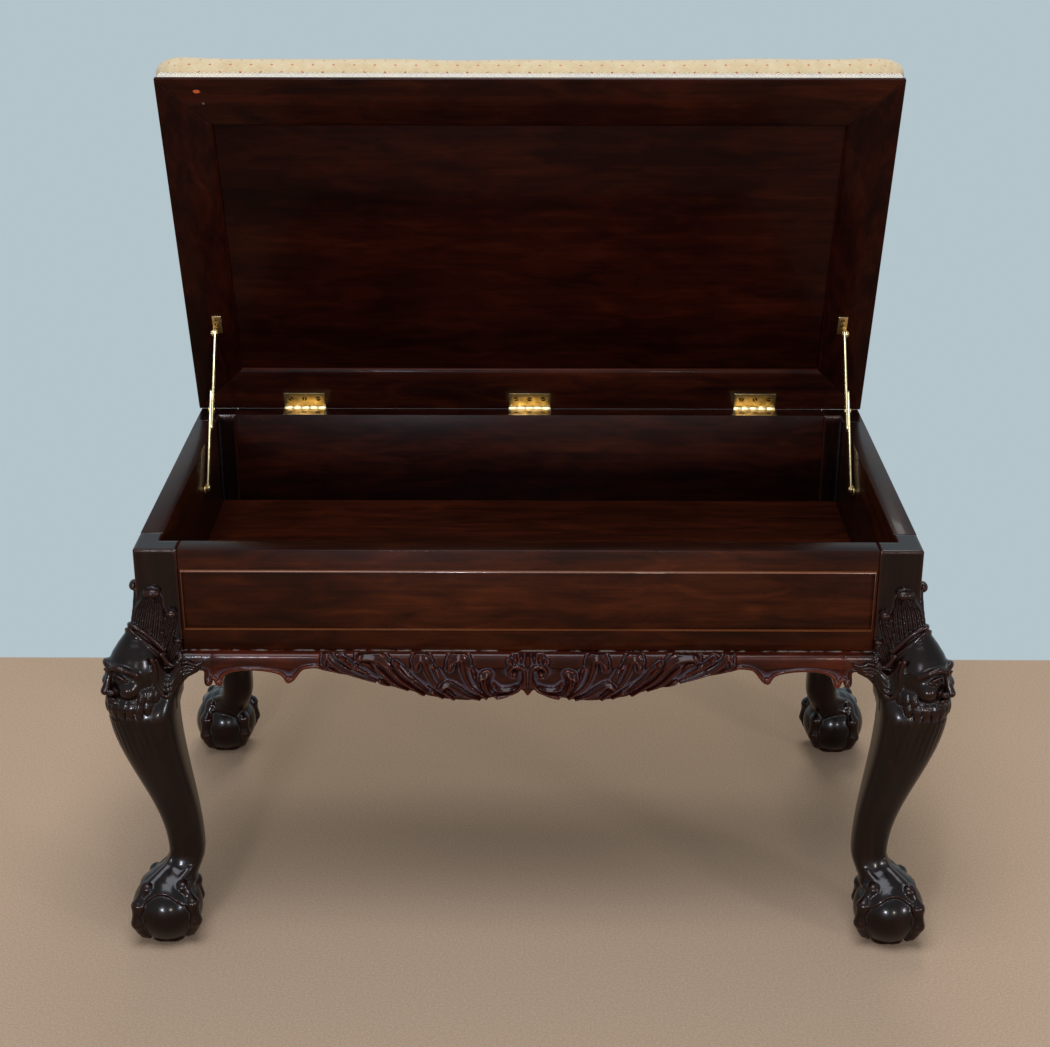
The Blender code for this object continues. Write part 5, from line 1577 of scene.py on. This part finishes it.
# Cords: a straight one, three that are plaited, and one in scallops
plaited = {"middle": -0.0022, "sway": 0.0026, "lift": 0.0004, "turns": 0.5, "radius": 0.0009}
gimpCords = [
    {"middle": -0.0062, "sway": 0.0, "lift": 0.0, "turns": 0, "phase": 0.0, "radius": 0.00115},
    *({**plaited, "phase": 2 * third * pi / 3} for third in range(3)),
    {"middle": 0.0026, "sway": 0.0015, "lift": 0.0, "turns": 1.0, "phase": 0.0, "radius": 0.0008},
]


def gimpGroup(period):
    group, given, result = nodeGroup("plaited_gimp", [
        ("Rise", "NodeSocketVector"), ("Finish", "NodeSocketMaterial")])
    run = addNode(group, "GeometryNodeSplineParameter").outputs["Length"]
    tangent = addNode(group, "GeometryNodeInputTangent").outputs["Tangent"]

    def maths(operation, *inputs):
        return addNode(group, "ShaderNodeMath", dict(enumerate(inputs)), operation=operation).outputs[0]

    def along(way, length):
        return addNode(group, "ShaderNodeVectorMath", {0: way, "Scale": length}, operation="SCALE").outputs[0]

    out = addNode(group, "ShaderNodeVectorMath", {0: tangent, 1: given["Rise"]}, operation="CROSS_PRODUCT").outputs[0]
    joined = addNode(group, "GeometryNodeJoinGeometry")
    for cord in gimpCords:
        angle = maths("MULTIPLY_ADD", run, 2 * pi * cord["turns"] / period, cord["phase"])
        rise = maths("MULTIPLY_ADD", maths("SINE", angle), cord["sway"], cord["middle"])
        lift = maths("MULTIPLY", maths("SINE", maths("MULTIPLY", angle, 2.0)), cord["lift"])
        shift = addNode(group, "ShaderNodeVectorMath", {0: along(given["Rise"], rise), 1: along(out, lift)},
                        operation="ADD").outputs[0]
        bent = addNode(group, "GeometryNodeSetPosition", {"Geometry": given["Geometry"], "Offset": shift})
        section = addNode(group, "GeometryNodeCurvePrimitiveCircle", {
            "Resolution": gimpForm["cordSides"], "Radius": cord["radius"]})
        tube = addNode(group, "GeometryNodeCurveToMesh", {
            "Curve": bent.outputs["Geometry"], "Profile Curve": section.outputs["Curve"]})
        group.links.new(tube.outputs["Mesh"], joined.inputs["Geometry"])
    return endGroup(group, given, result, joined.outputs["Geometry"])


def addGimp(fabric, cotton, padBox):
    braid = shutPoints("gimp_braid")
    low, high = braid.min(0), braid.max(0)
    corner, inset = gimpForm["corner"], gimpForm["inset"]
    ring, length = roundedRing(low[:2] + inset, high[:2] - inset, corner, gimpForm["spacing"])
    middle = (low[2] + high[2]) / 2
    path = [toOpen @ Vector((x, y, middle)) for x, y in ring]
    period = length / (2 * round(length / gimpForm["scallop"] / 2))
    values = {"Rise": toOpen.to_3x3() @ Vector((0, 0, 1)), "Finish": cotton}
    cords = bake(curveObject("gimp_path", path, True), gimpGroup(period), values, "plaited_gimp")
    strips = {}
    for part in ("tape", "hem"):
        inset, (foot, top) = gimpForm[part + "Inset"], gimpForm[part + "Ends"]
        ends = (low[2] + foot, high[2] + top)
        strips[part] = makeMesh("seat_" + part, *ringBand(
            low[:2] + inset, high[:2] - inset, corner, gimpForm[part], ends))
    strips["tape"].transform(toOpen)
    bm = bmesh.new()
    bm.from_mesh(cords)
    bm.from_mesh(strips["tape"])
    whole = bpy.data.meshes.new("plaited_gimp")
    bm.to_mesh(whole)
    bm.free()
    whole.shade_smooth()
    place(makeObject("plaited_gimp", whole, cotton), "lid", "gimp_braid", "gimp_braid")
    hem = strips["hem"]
    layCloth(hem, *padBox)
    shadeSmooth(hem, edgeForm["smooth"])
    hem.transform(toOpen)
    place(makeObject("seat_hem", hem, fabric), "lid", "cream_fabric")
    print("gimp plaited")


# Camera, floor and light

cameraFit = {
    "place": (0.00824, -1.98392, 1.22944), "down": 0.3947, "turn": 0.0063, "focal": 1907.6, "width": 1050, "sensor": 36,
}


def addCamera():
    data = bpy.data.cameras.new("camera")
    camera = bpy.data.objects.new("camera", data)
    scene.collection.objects.link(camera)
    data.sensor_fit = "HORIZONTAL"
    data.sensor_width = cameraFit["sensor"]
    data.lens = cameraFit["sensor"] * cameraFit["focal"] / cameraFit["width"]
    camera.location = cameraFit["place"]
    camera.rotation_euler = (pi / 2 - cameraFit["down"], 0, cameraFit["turn"])
    scene.camera = camera


studio = {
    "lights": [
        {"name": "window_left", "place": (-1.05, -4.6, 1.2), "size": 0.45, "power": 78, "tint": "#eef2ff"},
        {"name": "window_right", "place": (1.15, -4.6, 1.2), "size": 0.35, "power": 30, "tint": "#fff4e6"},
        {"name": "window_side", "place": (3.4, -3.2, 1.1), "size": 0.6, "power": 52, "tint": "#f6f6ff"},
        {"name": "ceiling", "place": (-0.2, -1.1, 2.8), "size": 1.6, "power": 58, "tint": "#f1f4ff"},
        {"name": "ceiling_back", "place": (0.3, 2.2, 3.4), "size": 1.6, "power": 60, "tint": "#f6f4f0"},
    ],
    "aim": (0, 0, 0.35),
    "sky": "#d9dfe2",
    "skyPower": 0.42,
    "backdrop": "#b4c4cb",
    "floor": [(0.3, "#9d866f"), (0.5, "#a8917a"), (0.7, "#b39c85")],
    "pile": 420.0,
    "floorSize": 9.0,
    "floorEdge": 0.463,
}


def addLamp(light):
    data = bpy.data.lights.new(light["name"], "AREA")
    data.energy = light["power"]
    data.size = light["size"]
    data.color = linear(light["tint"])[:3]
    lamp = bpy.data.objects.new(light["name"], data)
    scene.collection.objects.link(lamp)
    lamp.location = light["place"]
    aim = Vector(studio["aim"]) - Vector(light["place"])
    lamp.rotation_euler = aim.to_track_quat("-Z", "Y").to_euler()


def backdropRays(tree):
    # The camera and shiny surfaces see the pale backdrop.
    rays = addNode(tree, "ShaderNodeLightPath").outputs
    seen = {0: rays["Is Camera Ray"], 1: rays["Is Glossy Ray"]}
    return addNode(tree, "ShaderNodeMath", seen, operation="MAXIMUM").outputs[0]


def addWorld():
    world = bpy.data.worlds.new("studio")
    scene.world = world
    world.use_nodes = True
    tree = world.node_tree
    sky = addNode(tree, "ShaderNodeBackground", {"Color": linear(studio["sky"]), "Strength": studio["skyPower"]})
    wall = addNode(tree, "ShaderNodeBackground", {"Color": linear(studio["backdrop"]), "Strength": 1.0})
    both = addNode(tree, "ShaderNodeMixShader", {0: backdropRays(tree), 1: sky.outputs[0], 2: wall.outputs[0]})
    tree.links.new(both.outputs[0], tree.nodes["World Output"].inputs["Surface"])


# Floor: short sandy pile, and plain pale paint behind its far edge.
def addFloor():
    material, tree, shader = newMaterial("pale_floor", Roughness=0.95, Specular_IOR_Level=0.1)
    spot = addNode(tree, "ShaderNodeTexCoord").outputs["Object"]
    pile = stretched(tree, spot, studio["pile"], 3.0, 0.6)
    colour = ramp(tree, pile, studio["floor"])
    away = addNode(tree, "ShaderNodeSeparateXYZ", {"Vector": spot}).outputs["Y"]
    edge = band(tree, away, studio["floorEdge"], studio["floorEdge"] + 0.002)
    colour = blendColour(tree, edge, colour, linear(studio["backdrop"]))
    tree.links.new(colour, shader.inputs["Base Color"])
    share = addNode(tree, "ShaderNodeMath", {0: edge, 1: backdropRays(tree)}, operation="MULTIPLY").outputs[0]
    paint = addNode(tree, "ShaderNodeEmission", {"Color": linear(studio["backdrop"]), "Strength": 1.0})
    both = addNode(tree, "ShaderNodeMixShader", {0: share, 1: shader.outputs[0], 2: paint.outputs[0]})
    tree.links.new(both.outputs[0], tree.nodes["Material Output"].inputs["Surface"])
    bm = bmesh.new()
    bmesh.ops.create_grid(bm, x_segments=1, y_segments=1, size=studio["floorSize"] / 2)
    mesh = bpy.data.meshes.new("floor")
    bm.to_mesh(mesh)
    bm.free()
    makeObject("floor", mesh, material)


def addStudio():
    for light in studio["lights"]:
        addLamp(light)
    addWorld()
    addFloor()
    scene.view_settings.view_transform = "Standard"


addCamera()
addStudio()
addAprons()
addBrackets()
addLegs()
addJoinery()
addBeadFrame(mahogany("polished_mahogany_bead", "X", beadLook, carved=True))
addBrass(brass("aged_brass", brassTones), brass("pale_aged_brass", stayTones, 0.04))
addScrews(brass("dark_brass_screws", screwTones))
seatFabric = creamFabric("cream_seat_fabric")
addGimp(seatFabric, cottonGimp("cotton_gimp"), addCushion(seatFabric))
